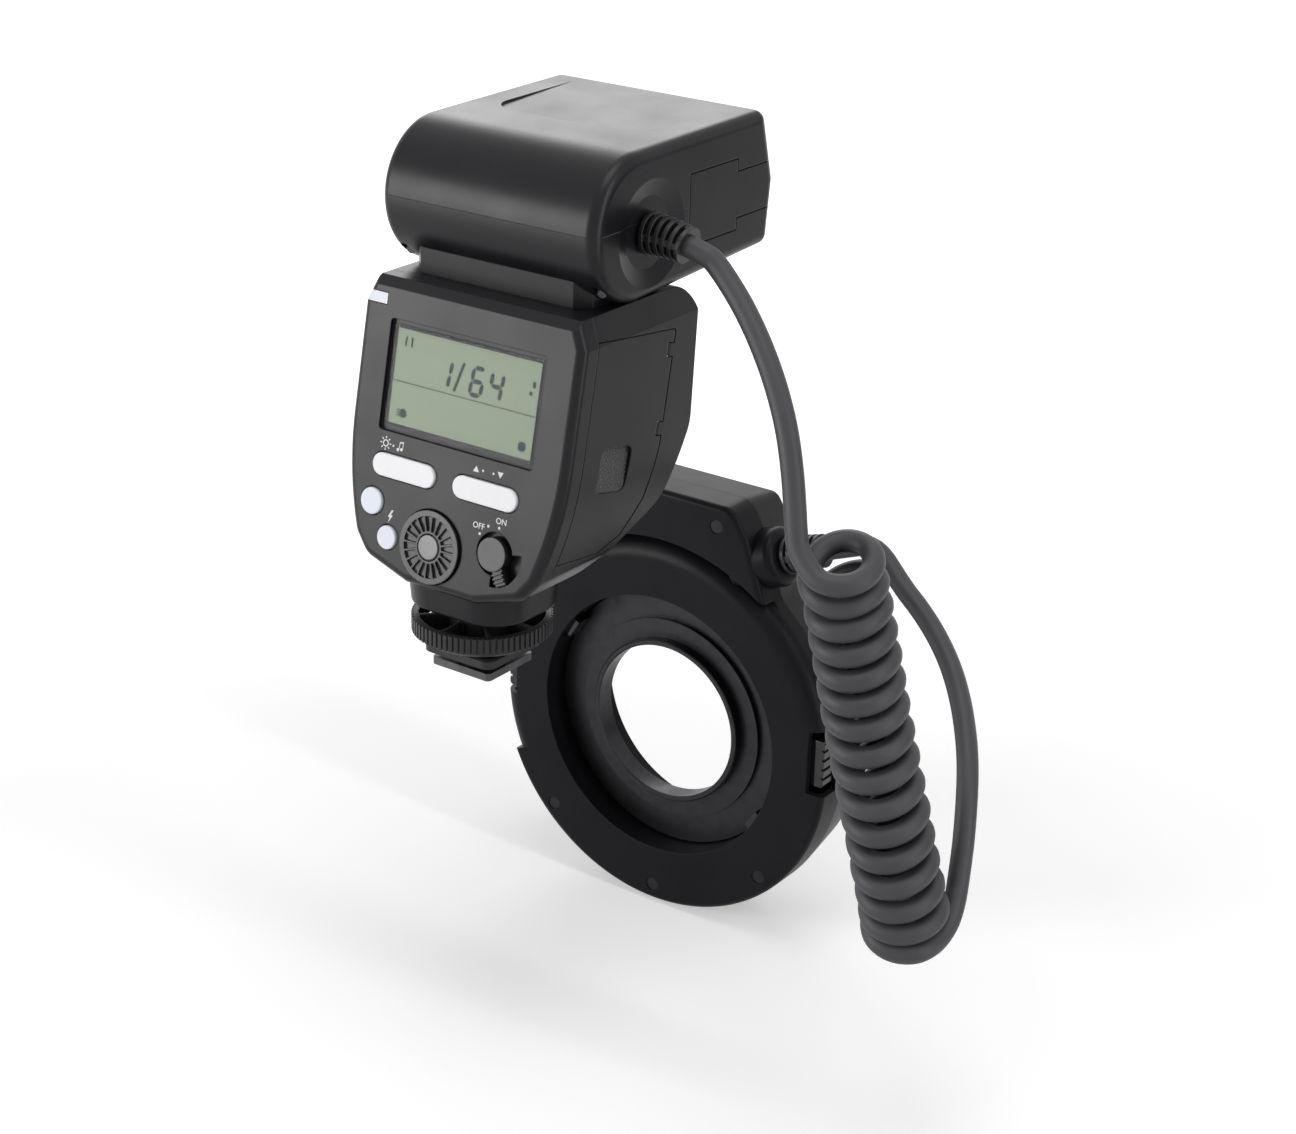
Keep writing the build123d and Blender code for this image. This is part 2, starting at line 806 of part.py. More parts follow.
save(battery_door, "battery_door")

# Thumb pad of the door: a ribbed rubber inlay in a shallow recess
with BuildPart() as door_thumb_pad:
    with BuildSketch(side_plane.offset(casing_half - pad_recess - casing_wall / 2)):
        with Locations((pad_depth_d - panel_seam, pad_v)):
            RectangleRounded(pad_width, pad_height, pad_corner)
    extrude(amount=pad_recess)
    with BuildSketch(side_plane.offset(casing_half - casing_wall / 2)):
        with Locations((pad_depth_d - panel_seam, pad_v)):
            with GridLocations(pad_width / pad_ribs, pad_height / pad_ribs, pad_ribs - 1, pad_ribs - 1):
                Rectangle(pad_width / pad_ribs / 2, pad_height / pad_ribs / 2)
    extrude(amount=pad_proud)
save(door_thumb_pad, "door_thumb_pad")

# Cells, their tray and the contact plates at both ends
cell_right = cell_left + cell_length
nubs_right = cell_spots[0::2]
nubs_left = cell_spots[1::2]
with BuildPart() as battery_cells:
    with BuildSketch(side_plane.offset(cell_left)):
        with Locations(*cell_spots):
            Circle(cell_radius)
    extrude(amount=cell_length)
    with BuildSketch(side_plane.offset(cell_right)):
        with Locations(*nubs_right):
            Circle(cell_nub_radius)
    extrude(amount=cell_nub)
    with BuildSketch(side_plane.offset(cell_left - cell_nub)):
        with Locations(*nubs_left):
            Circle(cell_nub_radius)
    extrude(amount=cell_nub)
save(battery_cells, "battery_cells")

left_plate = cell_left - cell_nub
with BuildPart() as battery_contacts:
    with BuildSketch(side_plane.offset(left_plate - contact_thick)):
        with Locations(*cell_spots):
            Circle(contact_radius)
    extrude(amount=contact_thick)
    with BuildSketch(side_plane.offset(left_plate)):
        with Locations(*nubs_right):
            Circle(contact_radius - contact_thick)
    extrude(amount=cell_nub, taper=degrees(atan2(contact_tip_radius, cell_nub * 2)))
save(battery_contacts, "battery_contacts")

right_plate = cell_right + cell_nub + thin_gap
with BuildPart() as door_contacts:
    with BuildSketch(side_plane.offset(right_plate)):
        with Locations(*cell_spots):
            Circle(contact_radius - contact_thick)
    extrude(amount=contact_thick)
    with BuildSketch(side_plane.offset(right_plate)):
        with Locations(*nubs_left):
            Circle(contact_tip_radius + contact_thick)
    extrude(amount=-cell_nub, taper=degrees(atan2(contact_thick, cell_nub)))
save(door_contacts, "door_contacts")

with BuildPart() as battery_tray:
    for x, thick in [(left_plate - contact_thick - tray_end, tray_end), (tray_ribs[0], tray_rib), (tray_ribs[1], tray_rib)]:
        with BuildSketch(side_plane.offset(x)):
            with Locations(((tray_rear + tray_front) / 2, (tray_low + tray_top) / 2)):
                Rectangle(tray_front - tray_rear, tray_top - tray_low)
            chamfer(vertices().group_by(Axis.Y)[0].sort_by(Axis.X)[-1], tray_chamfer)
        extrude(amount=thick)
    with BuildSketch(side_plane.offset(left_plate - contact_thick)):
        with Locations(*tray_spines):
            Rectangle(tray_spine_width, tray_spine_height)
        with Locations(*tray_side_spines):
            Rectangle(tray_rib, tray_spine_width)
    extrude(amount=tray_ribs[1] + tray_rib - left_plate + contact_thick)
    with BuildSketch(side_plane.offset(left_plate - contact_thick)):
        with Locations(*cell_spots):
            Circle(cell_radius + fit_gap)
    extrude(amount=far, mode=Mode.SUBTRACT)
save(battery_tray, "battery_tray")

# Display: a glazed window in a recess, and the module behind it
with BuildPart() as display_window:
    with BuildSketch(panel_plane(bezel_depth)):
        with Locations((display_x, display_v)):
            Rectangle(window_width, window_height)
    extrude(amount=window_thick)
save(display_window, "display_window")

with BuildPart() as display_module:
    with BuildSketch(panel_plane(casing_wall + module_thick)):
        with Locations((display_x, display_v)):
            Rectangle(window_width, window_height)
    extrude(amount=module_thick)
    with BuildSketch(panel_plane(casing_wall)):
        with Locations((display_x, display_v)):
            Rectangle(display_width - thin_gap * 2, display_height - thin_gap * 2)
    extrude(amount=casing_wall - bezel_depth - thin_gap)
save(display_module, "display_module")

# Main board behind the panel, with the switches under every button
board_back = board_depth + board_thick
encoder_top = dial_floor + button_flange * 3
switch_top = board_depth - switch_rise
with BuildPart() as main_board:
    with BuildSketch(panel_plane(board_back)):
        with BuildLine():
            Polyline((0, board_low_v), (board_width * 3 / 8, board_low_v), (board_width / 2, board_low_v * 2.5),
                     (board_width / 2, board_top_v), (0, board_top_v))
            mirror(about=Plane.YZ)
        make_face()
    extrude(amount=board_thick)
    with BuildSketch(panel_plane(board_depth)):
        with Locations(*rocker_spots):
            with GridLocations(rocker_length * 3 / 4, 0, 2, 1):
                Rectangle(switch_rise, switch_rise)
        with Locations((mode_x, mode_v), (lamp_x, lamp_v)):
            Rectangle(switch_rise, switch_rise)
        with Locations((power_x, power_v)):
            Rectangle(power_radius, power_radius)
    extrude(amount=switch_rise)
    with BuildSketch(panel_plane(board_depth)):
        with Locations((dial_x, dial_v)):
            Circle(dial_collar - button_flange)
    extrude(amount=board_depth - encoder_top - set_travel)
save(main_board, "main_board")


def key(name, spots, half_length, half_width, drop):
    """A key through the panel: a cap, and a flange under the panel that keeps it in."""
    with BuildPart() as piece:
        with BuildSketch(panel_plane(casing_wall + drop)):
            with Locations(*spots):
                if half_length > half_width:
                    SlotOverall(half_length * 2, half_width * 2)
                else:
                    Circle(half_width)
        extrude(amount=casing_wall + drop + button_proud)
        fillet(piece.faces().sort_by(Axis.Y)[0].edges(), button_proud / 2)
        with BuildSketch(panel_plane(casing_wall + drop + button_flange)):
            with Locations(*spots):
                if half_length > half_width:
                    SlotOverall((half_length + button_lip) * 2, (half_width + button_lip) * 2)
                else:
                    Circle(half_width + button_lip)
        extrude(amount=button_flange)
    save(piece, name)
    return piece


rocker_left = key("rocker_left", [rocker_spots[0]], rocker_length / 2, rocker_width / 2, button_drop)
rocker_right = key("rocker_right", [rocker_spots[1]], rocker_length / 2, rocker_width / 2, button_drop)
mode_button = key("mode_button", [(mode_x, mode_v)], mode_radius, mode_radius, button_drop)
lamp_button = key("lamp_button", [(lamp_x, lamp_v)], lamp_radius, lamp_radius, button_drop)

# Control dial: a knurled ring on a collar through the panel's cup, clipped behind its floor
with BuildPart() as control_dial:
    with BuildSketch(panel_plane(dial_floor - fit_gap)):
        with Locations((dial_x, dial_v)):
            Circle(dial_radius)
            Circle(set_radius + thin_gap, mode=Mode.SUBTRACT)
    extrude(amount=dial_thick)
    with BuildSketch(panel_plane(dial_dish_depth - dial_proud)):
        with Locations((dial_x, dial_v)):
            Circle(dial_radius - dial_dish)
            Circle(dial_hub_radius + thin_gap, mode=Mode.SUBTRACT)
            with PolarLocations((dial_radius - dial_dish + dial_hub_radius) / 2, dial_notches):
                Rectangle(dial_radius - dial_dish - dial_hub_radius, dial_notch_width, mode=Mode.SUBTRACT)
    extrude(amount=dial_proud, mode=Mode.SUBTRACT)
    with BuildSketch(panel_plane(dial_floor + button_flange + run_gap)):
        with Locations((dial_x, dial_v)):
            Circle(dial_collar)
            Circle(set_radius - button_flange, mode=Mode.SUBTRACT)
    extrude(amount=fit_gap + button_flange + run_gap + dial_thick / 4)
    with BuildSketch(panel_plane(dial_floor + button_flange * 2)):
        with Locations((dial_x, dial_v)):
            Circle(dial_collar + button_flange)
            Circle(set_radius - button_flange, mode=Mode.SUBTRACT)
    extrude(amount=button_flange - run_gap)
save(control_dial, "control_dial")

with BuildPart() as set_button:
    with BuildSketch(panel_plane(dial_floor - dial_thick / 4 - set_travel - fit_gap - thin_gap)):
        with Locations((dial_x, dial_v)):
            Circle(set_radius)
    extrude(amount=dial_thick - dial_thick / 4 - set_travel)
    fillet(set_button.faces().sort_by(Axis.Y)[0].edges(), button_proud / 2)
    with BuildSketch(panel_plane(dial_floor + button_flange * 3 - thin_gap)):
        with Locations((dial_x, dial_v)):
            Circle(set_radius - button_flange - run_gap)
    extrude(amount=button_flange * 3 + dial_thick / 4 + set_travel + fit_gap)
save(set_button, "set_button")

# Power switch: a round knob with a lever tab, on a post through the floor of its pocket
with BuildPart() as power_switch:
    with BuildSketch(panel_plane(power_floor - thin_gap)):
        with Locations((power_x, power_v)):
            Circle(power_radius)
            with PolarLocations((power_track - fit_gap) / 2, 1, start_angle=power_tab_angle):
                Rectangle(power_track - fit_gap, power_tab_width)
    extrude(amount=power_floor - thin_gap + power_proud / 2)
    with BuildSketch(panel_plane(0 - power_proud / 2)):
        with Locations((power_x, power_v)):
            Circle(power_radius)
            with PolarLocations((power_track - fit_gap) * 3 / 4, 1, start_angle=power_tab_angle):
                with GridLocations(power_tab_width / 3, 0, 3, 1):
                    Rectangle(power_tab_width / 6, power_tab_width)
    extrude(amount=power_proud / 2)
    with BuildSketch(panel_plane(dial_floor + button_flange + fit_gap)):
        with Locations((power_x, power_v)):
            Circle(power_post)
    extrude(amount=dial_floor + button_flange + fit_gap - power_floor + thin_gap)
    with BuildSketch(panel_plane(switch_top - thin_gap)):
        with Locations((power_x, power_v)):
            Circle(power_post + button_flange)
    extrude(amount=switch_top - thin_gap - dial_floor - button_flange - run_gap)
save(power_switch, "power_switch")

# Small pale window that wraps round the top left edge of the panel
with BuildPart() as corner_window:
    add(casing_outer)
    add(panel_slab(0 - far, panel_seam - thin_gap), mode=Mode.INTERSECT)
    add(casing_hollow, mode=Mode.SUBTRACT)
    with BuildSketch(panel_plane(panel_seam)):
        with Locations((-far / 2 - corner_lamp_inner, corner_lamp_v)):
            Rectangle(far, corner_lamp_height)
    extrude(amount=far, mode=Mode.INTERSECT)
save(corner_window, "corner_window")

# Window in the front of the casing, flush with it
with BuildPart() as front_window:
    add(casing_outer)
    add(casing_hollow, mode=Mode.SUBTRACT)
    with BuildSketch(Plane.XZ.offset(-casing_brow_y + casing_wall * 2)):
        with Locations((0, (front_window_low + front_window_top) / 2)):
            RectangleRounded(front_window_width - thin_gap * 2, front_window_top - front_window_low - thin_gap * 2,
                             front_window_corner)
    extrude(amount=-far, mode=Mode.INTERSECT)
save(front_window, "front_window")


def box_form(inset):
    """The upper box as one solid, drawn in by an inset; only the outer form has rounded edges."""
    with BuildPart() as form:
        with BuildSketch(Plane.YZ) as profile:
            with BuildLine():
                nose_top = (box_nose_y, box_nose_z + box_nose_radius)
                nose_low = (box_nose_y, box_nose_z - box_nose_radius)
                ThreePointArc(nose_top, (box_nose_y - box_nose_radius, box_nose_z), nose_low)
                Polyline(nose_low, (box_low_front_y, box_low_front_z), (box_prow_y, box_prow_z),
                         (box_top_front_y, box_top_front_z), nose_top)
            make_face()
            front = profile.vertices().filter_by_position(Axis.X, box_top_front_y, box_low_front_y)
            fillet(front, box_edge_round)
            if inset:
                offset(amount=-inset, mode=Mode.REPLACE)
        extrude(amount=box_half - inset, both=True)
        if not inset:
            fillet(form.faces().filter_by(Axis.X).edges(), box_edge_round)
    return form.part


box_solid = box_form(0)
box_recess_form = box_form(band_thick)
box_hollow = box_form(box_wall)
with BuildPart() as box_band_form:
    with BuildSketch(Plane.YZ):
        with BuildLine():
            Polyline((band_rear, band_low), (band_step, band_low), (band_step, band_step_low), (far, band_step_low),
                     (far, band_step_top), (band_step, band_step_top), (band_step, band_top), (band_rear, band_top),
                     close=True)
        make_face()
    extrude(amount=far, both=True)
with BuildPart() as box_band_gap:
    with BuildSketch(Plane.YZ):
        with BuildLine():
            Polyline((band_rear, band_low), (band_step, band_low), (band_step, band_step_low), (far, band_step_low),
                     (far, band_step_top), (band_step, band_step_top), (band_step, band_top), (band_rear, band_top),
                     close=True)
        make_face()
        offset(amount=band_groove, kind=Kind.INTERSECTION)
    extrude(amount=far, both=True)
with BuildPart() as box_skin_recess:
    add(box_band_gap.part)
    add(box_recess_form, mode=Mode.SUBTRACT)
relief_foot_x = box_half - relief_dish_depth

# Shallow cone in the right side of the box, where the cord's relief stands
with BuildPart() as relief_dish:
    with BuildSketch(Plane.YZ.offset(relief_foot_x)):
        with Locations((relief_y, relief_z)):
            Circle(relief_dish_floor_radius)
    with BuildSketch(Plane.YZ.offset(box_half + run_gap)):
        with Locations((relief_y, relief_z)):
            Circle(relief_dish_radius)
    loft()
    with BuildSketch(Plane.YZ.offset(box_half - box_wall - overrun)):
        with Locations((relief_y, relief_z)):
            Circle(relief_core)
    extrude(amount=box_wall + overrun)

# Lower shell of the box with the neck block that stands on the casing
with BuildPart() as box_lower:
    add(box_solid)
    with BuildSketch(Plane.XY.offset(casing_top)):
        with Locations((0, (neck_rear + neck_front) / 2)):
            Rectangle(neck_half * 2, neck_front - neck_rear)
        chamfer(vertices(), neck_edge)
    extrude(amount=neck_top - casing_top)
    with BuildSketch(Plane.XY.offset(box_seam_z)):
        Rectangle(far * 2, far * 2)
    extrude(amount=-far, mode=Mode.INTERSECT)
    add(box_hollow, mode=Mode.SUBTRACT)
    add(box_skin_recess.part, mode=Mode.SUBTRACT)
    add(relief_dish.part, mode=Mode.SUBTRACT)
    with BuildSketch(Plane.XY.offset(casing_top)):
        with Locations((0, box_nose_y)):
            Circle(neck_rear + neck_edge)
    extrude(amount=neck_top - casing_top, mode=Mode.SUBTRACT)
    with BuildSketch(Plane.XZ.offset(-box_screw_y)):
        with Locations((-box_screw_x, (neck_top + casing_top) / 2), (box_screw_x, (neck_top + casing_top) / 2)):
            Circle(box_screw_hole)
    extrude(amount=far, mode=Mode.SUBTRACT)
    for x in [-saddle_x, saddle_x]:
        with BuildSketch(Plane.YZ.offset(x)):
            with Locations((box_nose_y, box_nose_z)):
                Circle(box_nose_radius - box_wall / 2)
                Circle(capacitor_radius, mode=Mode.SUBTRACT)
                with Locations((0, capacitor_radius + overrun)):
                    Rectangle(capacitor_radius * 4, capacitor_radius * 2, mode=Mode.SUBTRACT)
        extrude(amount=saddle_thick / 2, both=True)
save(box_lower, "box_lower")

# Upper shell of the box: its top has a shallow dish that fades out forwards
dish_slope = (box_top_front_z - box_nose_z - box_nose_radius) / (box_top_front_y - box_nose_y)
dish_low_z = box_nose_z + box_nose_radius + dish_slope * (dish_rear - box_nose_y) - dish_depth
dish_high_z = box_nose_z + box_nose_radius + dish_slope * (dish_front - box_nose_y)
dish_angle = degrees(atan2(dish_high_z - dish_low_z, dish_front - dish_rear))
dish_plane = Plane(origin=(0, dish_rear, dish_low_z)).rotated((dish_angle, 0, 0))
with BuildPart() as box_upper:
    add(box_solid)
    with BuildSketch(Plane.XY.offset(box_seam_z)):
        Rectangle(far * 2, far * 2)
    extrude(amount=far, mode=Mode.INTERSECT)
    add(box_hollow, mode=Mode.SUBTRACT)
    add(box_skin_recess.part, mode=Mode.SUBTRACT)
    add(relief_dish.part, mode=Mode.SUBTRACT)
    with BuildSketch(dish_plane):
        with Locations((0, dish_front - dish_rear)):
            RectangleRounded(dish_half * 2, (dish_front - dish_rear) * 2, dish_corner)
    extrude(amount=box_edge_round, mode=Mode.SUBTRACT)
save(box_upper, "box_upper")

with BuildPart() as box_front_cover:
    add(box_solid)
    add(box_recess_form, mode=Mode.SUBTRACT)
    add(box_band_form.part, mode=Mode.INTERSECT)
save(box_front_cover, "box_front_cover")

# Screws of the box, sunk in the bullnose on both sides
with BuildPart() as box_screws:
    with BuildSketch(Plane.XZ.offset(-box_screw_y)):
        with Locations((-box_screw_x, (neck_top + casing_top) / 2), (box_screw_x, (neck_top + casing_top) / 2)):
            Circle(box_screw_hole - thin_gap)
    extrude(amount=screw_head_thick / 2)
save(box_screws, "box_screws")

# Capacitor in the nose of the box, in two saddles, and the flash board in front of it
with BuildPart() as capacitor:
    with BuildSketch(Plane.YZ.offset(-capacitor_length / 2)):
        with Locations((box_nose_y, box_nose_z)):
            Circle(capacitor_radius)
    extrude(amount=capacitor_length)
    fillet(capacitor.edges().filter_by(GeomType.CIRCLE), capacitor_bevel)
save(capacitor, "capacitor")

with BuildPart() as flash_board:
    with BuildSketch(Plane.XY.offset(flash_board_z)):
        with Locations((0, (flash_board_rear + flash_board_front) / 2)):
            Rectangle(flash_board_half * 2, flash_board_front - flash_board_rear)
    extrude(amount=flash_board_thick)
    with BuildSketch(Plane.XY.offset(flash_board_z + flash_board_thick)):
        with Locations((-flash_board_half / 3, (flash_board_rear + flash_board_front) / 2)):
            Rectangle(transformer_width, transformer_depth)
    extrude(amount=transformer_height)
    with BuildSketch(Plane.XY.offset(flash_board_z)):
        with Locations((0, (flash_board_rear + flash_board_front) / 2)):
            with GridLocations(flash_board_half * 5 / 3, transformer_depth * 3 / 2, 2, 2):
                Circle(board_leg_radius)
    extrude(amount=-far / 5)
    add(box_hollow, mode=Mode.INTERSECT)
save(flash_board, "flash_board")


def relief_stations(origin, heading, droop):
    """The line that a cord relief follows: straight, then drooping by an angle in the upright plane."""
    down = Vector(0, 0, -1)
    straight_end = origin + heading * relief_straight
    if not droop:
        return Edge.make_line(origin, origin + heading * relief_length)
    side = (down - heading * down.dot(heading)).normalized()
    reach = (relief_length - relief_straight) / radians(droop)
    a = radians(droop)
    middle = straight_end + heading * (reach * sin(a / 2)) + side * (reach * (1 - cos(a / 2)))
    last = straight_end + heading * (reach * sin(a)) + side * (reach * (1 - cos(a)))
    return Wire([Edge.make_line(origin, straight_end), Edge.make_three_point_arc(straight_end, middle, last)])


def relief_piece(name, origin, heading, droop):
    """A rubber relief: a flange, a core and slotted rings, which get smaller towards the cord."""
    line = relief_stations(origin, heading, droop)
    foot = Plane(origin=origin, z_dir=heading)
    pitch = relief_length / relief_rings
    with BuildPart() as piece:
        with BuildSketch(foot.offset(-box_wall + relief_dish_depth)):
            Circle(relief_flange_radius)
        extrude(amount=-relief_flange)
        with BuildSketch(foot.offset(-box_wall + relief_dish_depth)):
            Circle(relief_core)
        extrude(amount=box_wall - relief_dish_depth + pitch)
        for step in range(relief_rings):
            share = (step + 1) / relief_rings
            size = relief_ring_radius + (relief_ring_end - relief_ring_radius) * share
            station = Plane(line.location_at(share))
            with BuildSketch(station):
                Circle(size)
            extrude(amount=-relief_ring_thick)
            if step == 0:
                continue
            with BuildSketch(station):
                Circle(relief_core)
                Rectangle((size - relief_bar_inset) * 2, relief_bar)
                Rectangle(relief_bar, (size - relief_bar_inset) * 2)
            extrude(amount=-pitch)
    save(piece, name)
    return piece


relief_origin = Vector(relief_foot_x, relief_y, relief_z)
relief_heading = Vector(1, 0, 0)
relief_upper = relief_piece("relief_upper", relief_origin, relief_heading, relief_droop)
relief_line = relief_stations(relief_origin, relief_heading, relief_droop)
upper_start = relief_line.position_at(1)
upper_heading = relief_line.tangent_at(1)
boss_lean = radians(boss_angle)
boss_heading = Vector(cos(boss_lean), 0, sin(boss_lean))
relief_ring = relief_piece("relief_ring", Vector(*boss_face), boss_heading, 0)
lower_end = Vector(*boss_face) + boss_heading * relief_length


def cord_run(name, points):
    """A free stretch of cord through hand-chosen points, with tangent arcs at the corners."""
    stops = [Vector(point) for point in points]
    runs = [(b - a).length for a, b in zip(stops, stops[1:])]
    radii = []
    for before, here, after, run_in, run_out in zip(stops, stops[1:], stops[2:], runs, runs[1:]):
        turn = (here - before).get_angle(after - here)
        radii.append(cord_bend_share * min(run_in, run_out) / tan(radians(turn) / 2))
    with BuildPart() as piece:
        with BuildLine() as route:
            FilletPolyline(*stops, radius=radii)
        with BuildSketch(Plane(origin=route.wire() @ 0, z_dir=route.wire() % 0)):
            Circle(cord_diameter / 2)
        sweep()
    section = pi * cord_diameter ** 2 / 4
    length = route.wire().length
    print(name, "radii", [round(r, 1) for r in radii], "length", round(length, 1),
          "volume share", round(piece.part.volume / section / length, 4))
    save(piece, name)
    return piece


coil_in = Vector(coil_start_heading).normalized()
coil_out = Vector(coil_end_heading).normalized()
upper_last = Vector(coil_start) - coil_in * cord_diameter
upper_points = [upper_start, upper_start + upper_heading * cord_first_run] + upper_route
upper_points += [upper_last - coil_in * cord_last_run, upper_last]
lower_first = Vector(coil_end) + coil_out * cord_diameter
lower_points = ([lower_first, lower_first + coil_out * coil_end_run] + lower_route
                + [lower_end + boss_heading * cord_first_run, lower_end])
cord_upper = cord_run("cord_upper", upper_points)
cord_lower = cord_run("cord_lower", lower_points)

# Coil of the cord: a leaning left-handed helix, its first loop lifted at the back, as half-turn biarcs
coil_down = (Vector(coil_bottom) - Vector(coil_top)).normalized()
coil_x = (Vector(1, 0, 0) - coil_down * coil_down.X).normalized()
coil_y = coil_x.cross(coil_down)


def coil_point(turns):
    """Where the coil's middle line is after so many turns."""
    angle = radians(coil_first_angle + 360 * turns)
    lifted = coil_lift * (1 - cos(2 * pi * min(turns, 1) ** 1.5)) / 2
    along = coil_down * (coil_pitch * turns - lifted)
    return Vector(coil_top) + along + coil_x * (coil_radius * cos(angle)) + coil_y * (coil_radius * sin(angle))


def coil_heading(turns):
    """Which way the coil's middle line runs there."""
    small = 0.0001
    return (coil_point(turns + small) - coil_point(max(turns - small, 0))).normalized()


def half_way(p0, t0, p1, t1):
    """The joint of two arcs that leave one point and reach another with given headings."""
    v = p1 - p0
    t = t0 + t1
    k = 2 * (1 - t0.dot(t1))
    d = (sqrt(v.dot(t) ** 2 + k * v.dot(v)) - v.dot(t)) / k
    return (p0 + t0 * d + p1 - t1 * d) / 2, (p1 - t1 * d - p0 - t0 * d).normalized()


def arc_radius(start, heading, end):
    """Radius of the arc that leaves a point with a heading and ends at another."""
    v = end - start
    return v.dot(v) / 2 / heading.cross(v).length


coil_stations = [0, 0.25, 0.5, 0.75, 1.0]
while coil_stations[-1] + 0.5 < coil_turns - 0.01:
    coil_stations.append(coil_stations[-1] + 0.5)
coil_stations.append(coil_turns)
coil_nodes = [(Vector(coil_start), coil_in)]
coil_nodes += [(coil_point(turns), coil_heading(turns)) for turns in coil_stations]
coil_nodes.append((Vector(coil_end), coil_out))
coil_joints = [half_way(*here, *there) for here, there in zip(coil_nodes, coil_nodes[1:])]
coil_radii = [arc_radius(here[0], here[1], joint[0]) for here, joint in zip(coil_nodes, coil_joints)]
coil_radii += [arc_radius(joint[0], joint[1], there[0]) for joint, there in zip(coil_joints, coil_nodes[1:])]
with BuildPart() as cord_coil:
    with BuildLine() as coil_route:
        Line(upper_last, Vector(coil_start))
        for here, joint, there in zip(coil_nodes, coil_joints, coil_nodes[1:]):
            TangentArc(here[0], joint[0], tangent=here[1])
            TangentArc(joint[0], there[0], tangent=joint[1])
        Line(Vector(coil_end), lower_first)
    with BuildSketch(Plane(origin=upper_last, z_dir=coil_in)):
        Circle(cord_diameter / 2)
    sweep()
coil_wire = coil_route.wire()
coil_dots = [coil_wire @ (step / 1500) for step in range(1501)]
coil_apart = int(cord_diameter * 3 / coil_wire.length * 1500)
coil_gap = min(
    (a - b).length for step, a in enumerate(coil_dots[::3]) for b in coil_dots[step * 3 + coil_apart:]
) - cord_diameter
print("coil radii", round(min(coil_radii), 2), "gap", round(coil_gap, 2), "length", round(coil_wire.length, 1),
      "volume share", round(cord_coil.part.volume / coil_wire.length / pi / cord_diameter ** 2 * 4, 4),
      len(cord_coil.solids()), cord_coil.part.is_valid)
save(cord_coil, "cord_coil")


def ring_outline(inset):
    """The ring head's outline from behind: a circle with a shoulder on top, drawn in by an inset."""
    with BuildSketch(facing_rear(ring_rear)) as outline:
        Circle(ring_radius)
        with BuildLine():
            Polyline((0, shoulder_low), (shoulder_low_half, shoulder_low),
                     (shoulder_low_half - shoulder_step, shoulder_mid),
                     (shoulder_top_half, shoulder_top), (0, shoulder_top))
            mirror(about=Plane.YZ)
        make_face()
        top = outline.vertices().filter_by_position(Axis.Y, shoulder_top - overrun, far)
        fillet(top, shoulder_round)
        mid = outline.vertices().filter_by_position(Axis.Y, shoulder_mid - overrun, shoulder_mid + overrun)
        fillet(mid, shoulder_round)
        waist = outline.vertices().filter_by_position(Axis.Y, shoulder_low, shoulder_mid - overrun)
        fillet(waist, shoulder_waist_round)
        if inset:
            offset(amount=-inset, mode=Mode.REPLACE)
    return outline.sketch


def ring_lower_sector(grow):
    """The lower part of the ring between the two points where its rear edge gets softer."""
    start = degrees(atan2(lower_round_top, ring_radius))
    with BuildPart() as sector:
        with BuildSketch(radial_plane(start)):
            with BuildLine():
                soft = (ring_radius - lower_round, ring_rear + lower_round)
                Polyline((ring_radius + grow, ring_rear + lower_round), (ring_radius + grow, ring_rear - grow),
                         (ring_radius - lower_round, ring_rear - grow), (ring_radius - lower_round, ring_rear))
                CenterArc(soft, lower_round, -90, 90)
                Line((ring_radius, ring_rear + lower_round), (ring_radius + grow, ring_rear + lower_round))
            make_face()
        revolve(axis=ring_axis, revolution_arc=180 + start * 2)
    return sector.part


ring_depth = ring_front - ring_rear
ring_face = ring_outline(0)
ring_face_inner = ring_outline(ring_wall)
with BuildPart() as ring_form:
    extrude(to_extrude=ring_face, amount=-(ring_seam - ring_rear))
    fillet(ring_form.faces().sort_by(Axis.Y)[0].edges(), ring_rear_round)
    front_face = ring_form.faces().sort_by(Axis.Y)[-1]
    extrude(to_extrude=front_face, amount=ring_front - ring_seam, taper=ring_taper)
    fillet(ring_form.faces().sort_by(Axis.Y)[-1].edges(), ring_front_round)
    add(ring_lower_sector(overrun), mode=Mode.SUBTRACT)
with BuildPart() as ring_hollow:
    extrude(to_extrude=ring_face_inner, amount=-(ring_seam - ring_rear))
    front_face = ring_hollow.faces().sort_by(Axis.Y)[-1]
    extrude(to_extrude=front_face, amount=ring_front - ring_seam - ring_wall, taper=ring_taper)
    with BuildSketch(facing_rear(ring_rear)):
        Rectangle(far * 2, far * 2)
    extrude(amount=-ring_wall, mode=Mode.SUBTRACT)
    fillet(ring_hollow.faces().sort_by(Axis.Y)[0].edges(), ring_rear_round)
    with BuildSketch(facing_rear(ring_rear)):
        Circle(bore_radius + bore_collar)
    extrude(amount=-(ring_seam - ring_rear), mode=Mode.SUBTRACT)
    with BuildSketch(facing_rear(ring_seam)):
        Circle(bore_radius + bore_collar)
    extrude(amount=-flange_thick, mode=Mode.SUBTRACT)
    with BuildSketch(facing_rear(ring_seam)):
        Circle(aperture_radius + aperture_wall)
    extrude(amount=-ring_depth, mode=Mode.SUBTRACT)
    add(ring_lower_sector(overrun).moved(Location((0, ring_wall, 0))), mode=Mode.SUBTRACT)

